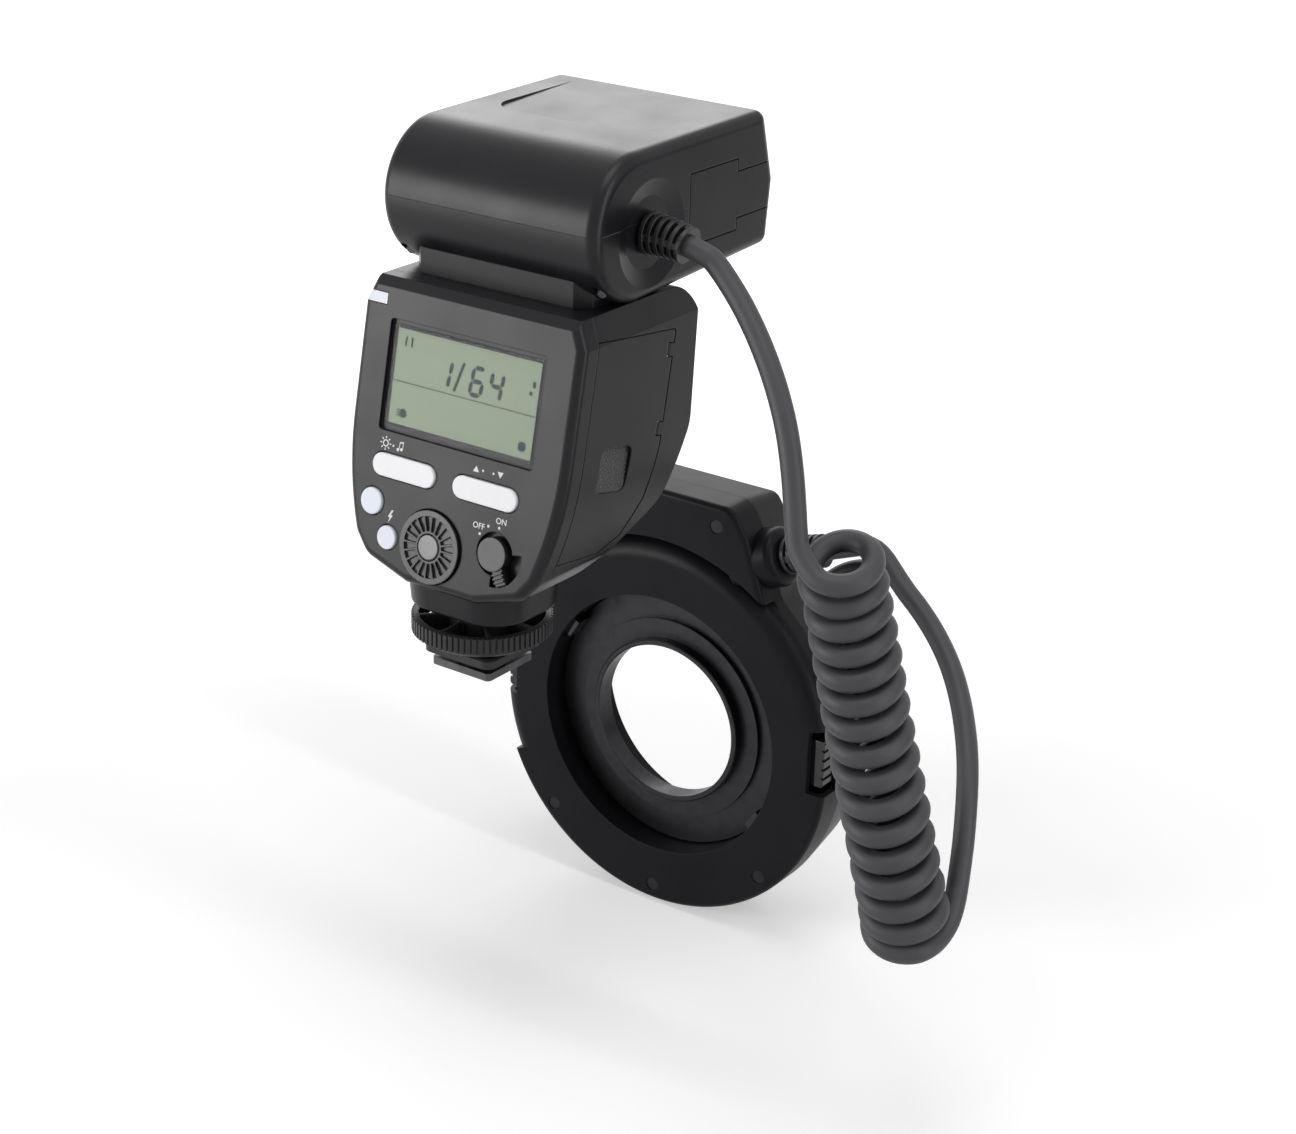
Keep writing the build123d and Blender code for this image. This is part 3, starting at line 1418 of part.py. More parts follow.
ring_screw_spots = [
    (ring_screw_x, ring_screw_z), (-ring_screw_x, ring_screw_z), (ring_screw_low_x, ring_screw_low_z),
    (-ring_screw_low_x, ring_screw_low_z), (0, ring_screw_foot_z),
]
slot_z = release_z + release_slot_lift
ring_screw_front = ring_rear + ring_head_recess + ring_screw_length
with BuildPart() as ring_rear_shell:
    add(ring_form.part)
    with BuildSketch(facing_rear(ring_seam)):
        Rectangle(far * 2, far * 2)
    extrude(amount=far, mode=Mode.INTERSECT)
    add(ring_hollow.part, mode=Mode.SUBTRACT)
    with BuildSketch(facing_rear(ring_rear + ring_wall)):
        with Locations(*ring_screw_spots):
            Circle(ring_post_radius)
    extrude(amount=-(ring_seam - ring_rear - ring_wall))
    with BuildSketch(facing_rear(ring_rear)):
        Circle(bore_radius)
    extrude(amount=-ring_depth, mode=Mode.SUBTRACT)
    with BuildSketch(facing_rear(ring_rear)):
        with Locations(*ring_screw_spots):
            Circle(ring_screw_radius)
    extrude(amount=-ring_depth, mode=Mode.SUBTRACT)
    with BuildSketch(facing_rear(ring_rear)):
        with Locations(*ring_screw_spots):
            Circle(ring_screw_head + thin_gap)
    extrude(amount=-ring_head_recess, mode=Mode.SUBTRACT)
    with BuildSketch(facing_rear(ring_rear)):
        with Locations((far / 2 + release_slot_inner_x, slot_z), (-far / 2 - release_slot_inner_x, slot_z)):
            Rectangle(far, release_slot)
    extrude(amount=-release_slot_depth, mode=Mode.SUBTRACT)
    with BuildSketch(facing_rear(slider_rear - thin_gap)):
        with PolarLocations(bore_radius, 2, start_angle=claw_angle):
            Rectangle(claw_width, claw_window)
    extrude(amount=-(ring_seam - slider_rear), mode=Mode.SUBTRACT)
    with BuildSketch(facing_rear(slider_rear - thin_gap)):
        with Locations((release_slot_inner_x, release_z), (-release_slot_inner_x, release_z)):
            Rectangle(ring_wall * 4, release_height + thin_gap * 2)
    extrude(amount=-(ring_seam - slider_rear), mode=Mode.SUBTRACT)
    with BuildSketch(Plane(origin=boss_face, z_dir=boss_heading)):
        Circle(boss_radius)
    extrude(amount=-boss_length, mode=Mode.SUBTRACT)
save(ring_rear_shell, "ring_rear_shell")


def lamp_sector(inner, outer, half_angle, corner, depth_y):
    """Two C-shaped faces, one on each side of the lens axis, seen from behind."""
    with BuildSketch(facing_rear(depth_y)) as sector:
        with BuildLine():
            outer_arc = CenterArc((0, 0), outer, -half_angle, half_angle * 2)
            inner_arc = CenterArc((0, 0), inner, -half_angle, half_angle * 2)
            Line(outer_arc @ 0, inner_arc @ 0)
            Line(outer_arc @ 1, inner_arc @ 1)
        make_face()
        if corner:
            fillet(sector.vertices(), corner)
        mirror(about=Plane.YZ)
    return sector.sketch


plate_back = ring_front - ring_wall
flange_back = plate_back - diffuser_flange
reflector_back = flange_back - reflector_depth
opening = lamp_sector(diffuser_inner - thin_gap, diffuser_outer + thin_gap, diffuser_half_angle + thin_gap,
                      diffuser_corner, ring_seam + ring_wall)
led_spots = [(lamp_led_x, lamp_led_r), (-lamp_led_x, lamp_led_r), (lamp_led_x, -lamp_led_r), (-lamp_led_x, -lamp_led_r)]
with BuildPart() as ring_front_shell:
    add(ring_form.part)
    with BuildSketch(facing_rear(ring_seam)):
        Rectangle(far * 2, far * 2)
    extrude(amount=-far, mode=Mode.INTERSECT)
    add(ring_hollow.part, mode=Mode.SUBTRACT)
    with BuildSketch(facing_rear(ring_seam)):
        with Locations(*ring_screw_spots):
            Circle(ring_post_radius)
    extrude(amount=-(reflector_back - ring_seam - thin_gap))
    with BuildSketch(facing_rear(ring_seam)):
        with Locations(*ring_screw_spots[:2]):
            Circle(ring_post_radius)
    extrude(amount=-(ring_front - ring_wall / 2 - ring_seam))
    with BuildSketch(facing_rear(ring_board_y + board_thick)):
        with Locations((peg_x, peg_z), (-peg_x, peg_z)):
            Circle(peg_radius)
    extrude(amount=-(ring_front - ring_wall / 2 - ring_board_y - board_thick))
    add(ring_form.part, mode=Mode.INTERSECT)
    with BuildSketch(facing_rear(ring_seam)):
        with Locations(*ring_screw_spots):
            Circle(ring_screw_radius)
    extrude(amount=-(ring_screw_front - ring_seam), mode=Mode.SUBTRACT)
    extrude(to_extrude=opening, amount=-far, mode=Mode.SUBTRACT)
    with BuildSketch(facing_rear(ring_seam + ring_wall)):
        with Locations(*led_spots):
            Circle(lamp_led_radius)
    extrude(amount=-far, mode=Mode.SUBTRACT)
    with BuildSketch(facing_rear(ring_seam)):
        Circle(aperture_radius)
    extrude(amount=-ring_depth, mode=Mode.SUBTRACT)
    with BuildSketch(Plane(origin=boss_face, z_dir=boss_heading)):
        Circle(boss_radius)
    extrude(amount=-boss_length, mode=Mode.SUBTRACT)
    mouth = ring_front_shell.edges().filter_by(GeomType.CIRCLE).filter_by_position(
        Axis.Y, ring_front - run_gap, ring_front + run_gap)
    chamfer(mouth.filter_by(lambda edge: abs(edge.radius - aperture_radius) < run_gap), aperture_mouth / 2)
save(ring_front_shell, "ring_front_shell")

# Socket boss on the shoulder, through the wall, with the seat of the cord's relief
with BuildPart() as socket_boss:
    with BuildSketch(Plane(origin=boss_face, z_dir=boss_heading)):
        Circle(boss_radius)
    extrude(amount=-boss_length)
    fillet(socket_boss.edges().sort_by(Axis.X)[-1], boss_round)
    add(ring_hollow.part, mode=Mode.SUBTRACT)
    add(relief_ring.part, mode=Mode.SUBTRACT)
save(socket_boss, "socket_boss")

# Lamps: diffusers in the front, reflectors and flash tubes behind them
diffuser_face = lamp_sector(diffuser_inner, diffuser_outer, diffuser_half_angle, diffuser_corner, flange_back)
diffuser_rim = lamp_sector(diffuser_inner - diffuser_lip, diffuser_outer + diffuser_lip,
                           diffuser_half_angle + diffuser_lip, diffuser_corner, flange_back)
with BuildPart() as diffusers:
    extrude(to_extrude=diffuser_face, amount=-(ring_front + diffuser_proud - flange_back))
    fillet(diffusers.edges().filter_by_position(Axis.Y, ring_front, ring_front + overrun), diffuser_proud)
    extrude(to_extrude=diffuser_rim, amount=-diffuser_flange)
save(diffusers, "diffusers")

trough = lamp_sector(diffuser_inner, diffuser_outer, diffuser_half_angle, 0, reflector_back)
trough_inner = lamp_sector(diffuser_inner + reflector_wall, diffuser_outer - reflector_wall,
                           diffuser_half_angle - reflector_wall, 0, reflector_back + reflector_wall)
with BuildPart() as reflectors:
    extrude(to_extrude=trough, amount=-reflector_depth)
    extrude(to_extrude=trough_inner, amount=-reflector_depth, mode=Mode.SUBTRACT)
save(reflectors, "reflectors")

with BuildPart() as flash_tubes:
    for middle in [0, 180]:
        with BuildLine() as tube_line:
            start_plane = radial_plane(middle - tube_half_angle)
            mid_plane = radial_plane(middle)
            last_plane = radial_plane(middle + tube_half_angle)
            ends = [plane.from_local_coords(Vector(tube_ring_radius, tube_y, 0))
                    for plane in [start_plane, mid_plane, last_plane]]
            ThreePointArc(*ends)
        with BuildSketch(start_plane):
            with Locations((tube_ring_radius, tube_y)):
                Circle(tube_radius)
        sweep(path=tube_line.wire())
        with BuildSketch(start_plane):
            with Locations((tube_ring_radius, tube_y)):
                Circle(tube_cap_radius)
        extrude(amount=tube_cap_length / 2, both=True)
        with BuildSketch(last_plane):
            with Locations((tube_ring_radius, tube_y)):
                Circle(tube_cap_radius)
        extrude(amount=tube_cap_length / 2, both=True)
save(flash_tubes, "flash_tubes")

with BuildPart() as focus_lamps:
    with BuildSketch(facing_rear(plate_back - led_flange)):
        with Locations(*led_spots):
            Circle(lamp_led_radius)
    extrude(amount=-(ring_front + diffuser_proud - plate_back + led_flange))
    fillet(focus_lamps.edges().filter_by_position(Axis.Y, ring_front, ring_front + overrun), diffuser_proud)
    with BuildSketch(facing_rear(plate_back - led_flange)):
        with Locations(*led_spots):
            Circle(lamp_led_radius + led_flange)
    extrude(amount=-led_flange)
save(focus_lamps, "focus_lamps")

with BuildPart() as ring_board:
    with BuildSketch(facing_rear(ring_board_y)):
        with Locations((0, (ring_board_low + ring_board_top) / 2)):
            Rectangle(ring_board_half * 2, ring_board_top - ring_board_low)
    extrude(amount=-board_thick)
save(ring_board, "ring_board")

with BuildPart() as ring_screws:
    with BuildSketch(facing_rear(ring_rear + ring_head_recess / 4)):
        with Locations(*ring_screw_spots):
            Circle(ring_screw_head)
    extrude(amount=-ring_head_recess * 3 / 4)
    with BuildSketch(facing_rear(ring_rear + ring_head_recess)):
        with Locations(*ring_screw_spots):
            Circle(ring_screw_radius)
    extrude(amount=-ring_screw_length)
save(ring_screws, "ring_screws")


def release_piece(name, side):
    """A release button with its slider round the bore and the claw at the far end of the slider."""
    start = 2 if side > 0 else 178
    button_x = (release_inner_x + release_outer_x) / 2 * side
    with BuildPart() as piece:
        with BuildSketch(facing_rear(slider_rear)):
            with BuildLine():
                shift = (slider_shift * side, 0)
                inner_arc = CenterArc(shift, slider_inner, start, claw_angle)
                outer_arc = CenterArc(shift, slider_inner + slider_width, start, claw_angle)
                Line(inner_arc @ 0, outer_arc @ 0)
                Line(inner_arc @ 1, outer_arc @ 1)
            make_face()
        extrude(amount=-slider_thick)
        with BuildSketch(facing_rear(slider_rear)):
            with PolarLocations((claw_tip + claw_root) / 2, 1, start_angle=claw_angle if side > 0 else claw_angle + 180):
                Rectangle(claw_root - claw_tip, claw_width)
        extrude(amount=-(claw_front - slider_rear))
        with BuildSketch(facing_rear(release_rear)):
            with Locations((button_x, release_z)):
                RectangleRounded(release_outer_x - release_inner_x, release_height, overrun)
        extrude(amount=-release_depth)
        with BuildSketch(facing_rear(release_rear)):
            with Locations((release_outer_x * side, release_z)):
                with GridLocations(0, release_height / grip_ribs, 1, grip_ribs - 1):
                    Rectangle(slider_thick, slider_thick / 2)
        extrude(amount=-release_depth, mode=Mode.SUBTRACT)
    save(piece, name)
    return piece


release_right = release_piece("release_right", 1)
release_left = release_piece("release_left", -1)


def spring_piece(name, side):
    """A small return spring between a release button and the bore's collar."""
    length = release_inner_x - bore_radius - bore_collar - run_gap
    with BuildPart() as piece:
        with BuildSketch(Plane(origin=((release_inner_x - length) * side, spring_y, ring_axis_z + release_z),
                               z_dir=(side, 0, 0))):
            Circle(spring_radius)
            Circle(spring_bore, mode=Mode.SUBTRACT)
        extrude(amount=length)
    save(piece, name)
    return piece


spring_right = spring_piece("spring_right", 1)
spring_left = spring_piece("spring_left", -1)

# Adapter ring: a disc in the ring head's bore and a threaded spigot for the front of the lens
with BuildPart() as adapter_ring:
    with BuildSketch(facing_rear(adapter_rear)):
        Circle(adapter_radius)
    extrude(amount=-adapter_thick)
    with BuildSketch(facing_rear(adapter_rear)):
        Circle(adapter_step_radius)
    extrude(amount=adapter_step)
    with BuildSketch(facing_rear(adapter_rear)):
        Circle(thread_radius)
    extrude(amount=thread_length)
    with BuildSketch(facing_rear(adapter_rear - thread_length)):
        Circle(thread_radius - thread_wall)
    extrude(amount=-thread_length * 2, mode=Mode.SUBTRACT)
    chamfer(adapter_ring.edges().filter_by_position(
        Axis.Y, adapter_rear - thread_length, adapter_rear - thread_length), thin_gap * 2)
save(adapter_ring, "adapter_ring")
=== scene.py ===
import itertools
import math

import bmesh
import bpy
from mathutils import Matrix, Vector


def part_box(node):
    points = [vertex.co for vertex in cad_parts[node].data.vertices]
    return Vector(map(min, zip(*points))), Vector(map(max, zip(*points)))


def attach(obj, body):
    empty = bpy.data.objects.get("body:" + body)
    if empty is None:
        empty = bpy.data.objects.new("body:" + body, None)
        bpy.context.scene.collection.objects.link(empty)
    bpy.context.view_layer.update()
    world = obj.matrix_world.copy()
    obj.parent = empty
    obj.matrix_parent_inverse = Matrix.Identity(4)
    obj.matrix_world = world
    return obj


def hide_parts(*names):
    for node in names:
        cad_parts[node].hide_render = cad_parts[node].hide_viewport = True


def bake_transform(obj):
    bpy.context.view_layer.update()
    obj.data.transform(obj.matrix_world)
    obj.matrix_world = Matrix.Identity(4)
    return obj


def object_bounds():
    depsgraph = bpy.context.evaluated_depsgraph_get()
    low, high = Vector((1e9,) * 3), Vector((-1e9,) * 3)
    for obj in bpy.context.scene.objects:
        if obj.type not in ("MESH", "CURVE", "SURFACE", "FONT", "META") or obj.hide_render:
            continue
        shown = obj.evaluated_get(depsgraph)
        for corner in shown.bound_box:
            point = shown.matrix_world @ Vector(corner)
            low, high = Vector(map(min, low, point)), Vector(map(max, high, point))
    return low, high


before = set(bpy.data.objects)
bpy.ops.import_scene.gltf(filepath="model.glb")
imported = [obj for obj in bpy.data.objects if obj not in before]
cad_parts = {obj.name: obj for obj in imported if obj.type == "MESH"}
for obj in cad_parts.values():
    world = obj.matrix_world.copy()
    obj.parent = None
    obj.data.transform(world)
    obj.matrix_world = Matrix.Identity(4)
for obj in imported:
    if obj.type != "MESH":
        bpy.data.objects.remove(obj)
cad_low, cad_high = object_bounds()


# Viewpoint
# The picture is taken from behind the user's right shoulder and a little above the flash, with a short
# telephoto lens. The flash sits on a camera's shoe, so the origin is the shoe and not the floor.
MM = 0.001
picture_width = 1296
lens_pixels = 2645.69
film_width = 36.0
camera_spot = Vector((384.67, -475.80, 282.60)) * MM
camera_right = Vector((0.8124, 0.5826, 0.0239))
camera_up = Vector((-0.2430, 0.3011, 0.9221))

back = camera_right.cross(camera_up).normalized()
up = back.cross(camera_right).normalized()
turn = Matrix((camera_right.normalized(), up, back)).transposed()
camera_data = bpy.data.cameras.new("viewpoint")
camera_data.sensor_width = film_width
camera_data.lens = lens_pixels * film_width / picture_width
camera_data.clip_start = 10 * MM
camera = bpy.data.objects.new("viewpoint", camera_data)
camera.matrix_world = Matrix.Translation(camera_spot) @ turn.to_4x4()
bpy.context.scene.collection.objects.link(camera)
bpy.context.scene.camera = camera
bpy.context.scene.view_settings.view_transform = "Standard"


# Studio table and backdrop
# A white sweep of paper: one big pale sheet just under the ring head, and a white room round it.
# It shows white in the picture and in mirrors, and the sheet keeps the soft shadow of the flash.
paper_colour = (0.86, 0.86, 0.86, 1)
matt_roughness = 0.9
paper_glow = 0.40
far_glow = 1.0
glow_near = 0.22
glow_far = 0.75
paper_half = 6.0
paper_drop = 0.6 * MM
room_light = 0.17

paper_mesh = bpy.data.meshes.new("paper")
paper_z = cad_low.z - paper_drop
corners = [(x * paper_half, y * paper_half, paper_z) for x, y in ((-1, -1), (1, -1), (1, 1), (-1, 1))]
paper_mesh.from_pydata(corners, [], [(0, 1, 2, 3)])
paper = bpy.data.objects.new("paper", paper_mesh)
bpy.context.scene.collection.objects.link(paper)
paper_finish = bpy.data.materials.new("white_paper")
paper_finish.use_nodes = True
tree = paper_finish.node_tree
matt = tree.nodes["Principled BSDF"]
matt.inputs["Base Color"].default_value = paper_colour
matt.inputs["Roughness"].default_value = matt_roughness
matt.inputs["Specular IOR Level"].default_value = 0.0
glow = tree.nodes.new("ShaderNodeEmission")
rays = tree.nodes.new("ShaderNodeLightPath")
seen = tree.nodes.new("ShaderNodeMath")
seen.operation = "MAXIMUM"
seen.use_clamp = True
ground = tree.nodes.new("ShaderNodeNewGeometry")
reach = tree.nodes.new("ShaderNodeVectorMath")
reach.operation = "LENGTH"
spread = tree.nodes.new("ShaderNodeMapRange")
spread.inputs["From Min"].default_value = glow_near
spread.inputs["From Max"].default_value = glow_far
spread.inputs["To Min"].default_value = paper_glow
spread.inputs["To Max"].default_value = far_glow
share = tree.nodes.new("ShaderNodeMath")
share.operation = "MULTIPLY"
both = tree.nodes.new("ShaderNodeAddShader")
tree.links.new(rays.outputs["Is Camera Ray"], seen.inputs[0])
tree.links.new(rays.outputs["Is Glossy Ray"], seen.inputs[1])
tree.links.new(ground.outputs["Position"], reach.inputs[0])
tree.links.new(reach.outputs["Value"], spread.inputs["Value"])
tree.links.new(seen.outputs[0], share.inputs[0])
tree.links.new(spread.outputs["Result"], share.inputs[1])
tree.links.new(share.outputs[0], glow.inputs["Strength"])
tree.links.new(matt.outputs[0], both.inputs[0])
tree.links.new(glow.outputs[0], both.inputs[1])
tree.links.new(both.outputs[0], tree.nodes["Material Output"].inputs["Surface"])
paper_mesh.materials.append(paper_finish)

world = bpy.data.worlds.new("white_room")
world.use_nodes = True
bpy.context.scene.world = world
tree = world.node_tree
room = tree.nodes["Background"]
rays = tree.nodes.new("ShaderNodeLightPath")
mirrored = tree.nodes.new("ShaderNodeMath")
mirrored.operation = "MAXIMUM"
shown = tree.nodes.new("ShaderNodeMath")
shown.operation = "MAXIMUM"
level = tree.nodes.new("ShaderNodeMapRange")
level.inputs["To Min"].default_value = room_light
level.inputs["To Max"].default_value = 1.0
tree.links.new(rays.outputs["Is Glossy Ray"], mirrored.inputs[0])
tree.links.new(rays.outputs["Is Transmission Ray"], mirrored.inputs[1])
tree.links.new(rays.outputs["Is Camera Ray"], shown.inputs[0])
tree.links.new(mirrored.outputs[0], shown.inputs[1])
tree.links.new(shown.outputs[0], level.inputs["Value"])
tree.links.new(level.outputs["Result"], room.inputs["Strength"])
room.inputs["Color"].default_value = (1, 1, 1, 1)


# Studio lamps
# A soft box beyond the flash that lights up the box's top, one overhead, one low at the user's left for
# the panel, and a narrow strip at the right that draws the bright lines on the moulded edges. A black
# card at the right keeps the door's side dark.
def hang(name, data, spot, aim):
    """Hangs a lamp or a card at its spot, turned to what it points at."""
    piece = bpy.data.objects.new(name, data)
    piece.location = spot
    piece.rotation_euler = (Vector(aim) - Vector(spot)).to_track_quat("-Z", "Y").to_euler()
    bpy.context.scene.collection.objects.link(piece)
    return piece


def lamp(name, spot, aim, width, height, watts):
    """One soft box: where it hangs, what it points at, how large it is and how strong."""
    light = bpy.data.lights.new(name, "AREA")
    light.shape = "RECTANGLE"
    light.size = width
    light.size_y = height
    light.energy = watts
    hang(name, light, spot, aim)


lamp("far_box", (-0.50, 0.72, 0.50), (0.0, 0.04, 0.12), 0.55, 0.42, 2.0)
lamp("top_box", (0.10, -0.05, 0.80), (0.02, 0.03, 0.05), 0.45, 0.45, 2.0)
lamp("right_strip", (0.62, 0.02, 0.24), (0.02, 0.02, 0.03), 0.05, 0.70, 1.3)
lamp("left_box", (-0.55, -0.66, 0.16), (0.0, -0.01, 0.05), 0.42, 0.42, 4.4)


def card(name, spot, aim, width, height):
    """A black card that keeps the white room out of one side's reflections."""
    mesh = bpy.data.meshes.new(name)
    corners = [(x * width / 2, y * height / 2, 0) for x, y in ((-1, -1), (1, -1), (1, 1), (-1, 1))]
    mesh.from_pydata(corners, [], [(0, 1, 2, 3)])
    mesh.materials.append(card_black)
    hang(name, mesh, spot, aim)


card_black = bpy.data.materials.new("card_black")
card_black.use_nodes = True
matt = card_black.node_tree.nodes["Principled BSDF"]
matt.inputs["Base Color"].default_value = (0.02, 0.02, 0.02, 1)
matt.inputs["Roughness"].default_value = matt_roughness
matt.inputs["Specular IOR Level"].default_value = 0.0
card("right_card", (0.62, 0.52, 0.02), (0.03, 0.03, 0.06), 0.55, 0.26)


# Curly cord
# One round cord of soft grey-black rubber: a free run from the box, a coil of fifteen turns that hangs
# beside the flash, and a free run up to the ring head. It is moulded as one piece and nothing ties it.
cord_thick = 5.5 * MM
cord_colour = (0.053, 0.053, 0.058, 1)
tip_droop = math.radians(14)
upper_start = Vector((43.4107, 23.5, 111.706))
upper_way = Vector((math.cos(tip_droop), 0, -math.sin(tip_droop)))
upper_first = 5.0
upper_route = [
    (50.3, 24.6, 109.1), (58.4, 22.8, 102.3), (64.5, 20.4, 96.9), (70.5, 17.5, 90.9), (75.4, 15.1, 84.6),
    (80.0, 12.5, 77.1), (83.5, 10.0, 68.8), (85.9, 7.9, 61.4), (87.4, 6.5, 56.0), (88.8, 5.6, 51.2),
]
# The coil's loops: turns so far, the loop's centre and radius, and the degrees that it leans and rolls
coil_rows = [
    (0.0, 96.0, 12.0, 49.0, 8.09, 46.0, 0.0),
    (0.5, 95.6, 12.8, 48.4, 8.1, 46.0, 2.0),
    (0.8, 95.3, 14.0, 46.5, 8.01, 44.0, 8.0),
    (1.25, 96.3, 14.8, 41.8, 7.92, 41.0, 16.0),
    (2.25, 97.6, 15.1, 36.2, 7.94, 40.0, 18.0),
    (4.25, 100.5, 15.5, 24.1, 7.99, 40.0, 18.0),
    (6.25, 103.2, 15.9, 12.0, 8.03, 40.0, 18.0),
    (8.25, 106.5, 16.3, -0.9, 8.08, 40.0, 18.0),
    (10.25, 110.1, 16.7, -14.1, 8.12, 40.0, 18.0),
    (12.25, 113.3, 17.2, -27.0, 8.17, 41.0, 18.0),
    (13.25, 114.5, 18.2, -33.4, 8.2, 42.0, 16.0),
    (14.25, 115.4, 19.2, -39.5, 8.36, 42.0, 12.0),
    (15.25, 116.0, 20.4, -44.8, 8.63, 42.0, 8.0),
]
coil_first_turn = 0.125
coil_turns = 15.32
points_a_turn = 16
# The directions that the loops are laid out on: to the user's right, up and away
across = Vector((0.8124, 0.5826, 0.0239))
upward = Vector((-0.2430, 0.3011, 0.9221))
ahead = Vector((-0.5300, 0.7549, -0.3862))
coil_tail = [(123.6, 23.5, -47.0), (123.4, 29.7, -43.2)]
coil_end = Vector((121.9, 33.7, -38.6))
cord_roundness = 7
cord_fineness = 5
lower_first_run = 3.0
lower_route = [
    (120.7, 36.9, -33.4), (119.6, 39.7, -27.7), (117.3, 44.1, -19.8), (113.9, 49.9, -14.1),
    (109.6, 56.0, -9.3), (103.5, 63.5, -4.4), (96.5, 70.4, 0.5), (88.6, 76.3, 4.9), (80.4, 80.7, 9.1),
    (73.9, 83.0, 12.3),
]
socket_rise = math.radians(21)
socket_way = Vector((math.cos(socket_rise), 0, math.sin(socket_rise)))
socket_runs = (17.0, 8.0)
lower_end = Vector((46.803, 87.0, 14.5004))


def coil_row(turns):
    """The row of the coil's table at a number of turns, on a straight line between its neighbours."""
    for before, after in zip(coil_rows, coil_rows[1:]):
        if turns <= after[0]:
            break
    share = (turns - before[0]) / (after[0] - before[0])
    return [low + (high - low) * share for low, high in zip(before[1:], after[1:])]


def coil_point(turns):
    """A control point of the coil: a ring of a few sides stands outside the round that it makes."""
    x, y, z, radius, lean, roll = coil_row(turns)
    angle = math.pi + 2 * math.pi * turns
    lean, roll = math.radians(lean), math.radians(roll)
    side = across * math.cos(roll) + upward * math.sin(roll)
    back = ahead * math.cos(lean) + upward * math.sin(lean)
    reach = radius / math.cos(math.pi / points_a_turn)
    return Vector((x, y, z)) + (side * math.cos(angle) + back * math.sin(angle)) * reach


def cord_curve(name, points, thick):
    """A smooth curve by a cord's control points, in millimetres. Each point has the cord's own radius."""
    line = bpy.data.curves.new(name, "CURVE")
    line.dimensions = "3D"
    line.bevel_depth = 1.0 if thick else 0.0
    line.bevel_resolution = cord_roundness
    line.use_fill_caps = True
    line.resolution_u = cord_fineness
    spline = line.splines.new("NURBS")
    spline.points.add(len(points) - 1)
    for control, point in zip(spline.points, points):
        control.co = (*(Vector(point) * MM), 1)
        control.radius = thick / 2
    spline.order_u = 3
    spline.use_endpoint_u = True
    return line


def piece_of(name, data, body=None):
    """An object in the scene for a mesh or a curve, riding on a body of the flash."""
    piece = bpy.data.objects.new(name, data)
    bpy.context.scene.collection.objects.link(piece)
    if body:
        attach(piece, body)
    return piece


grain_softness = 0.6
mottle_scale = 55.0
mottle_reach = (0.3, 0.7)
sheen_reach = (0.25, 0.75)
sheen_spread = 0.05
# The rounded edges: their radius, where the paler colour starts and ends, and that colour: partly wear,
# partly painted highlight
edge_round_radius = 0.35 * MM
wear_and_highlight_reach = (0.995, 0.90)
wear_and_highlight_colour = (0.16, 0.16, 0.17, 1)


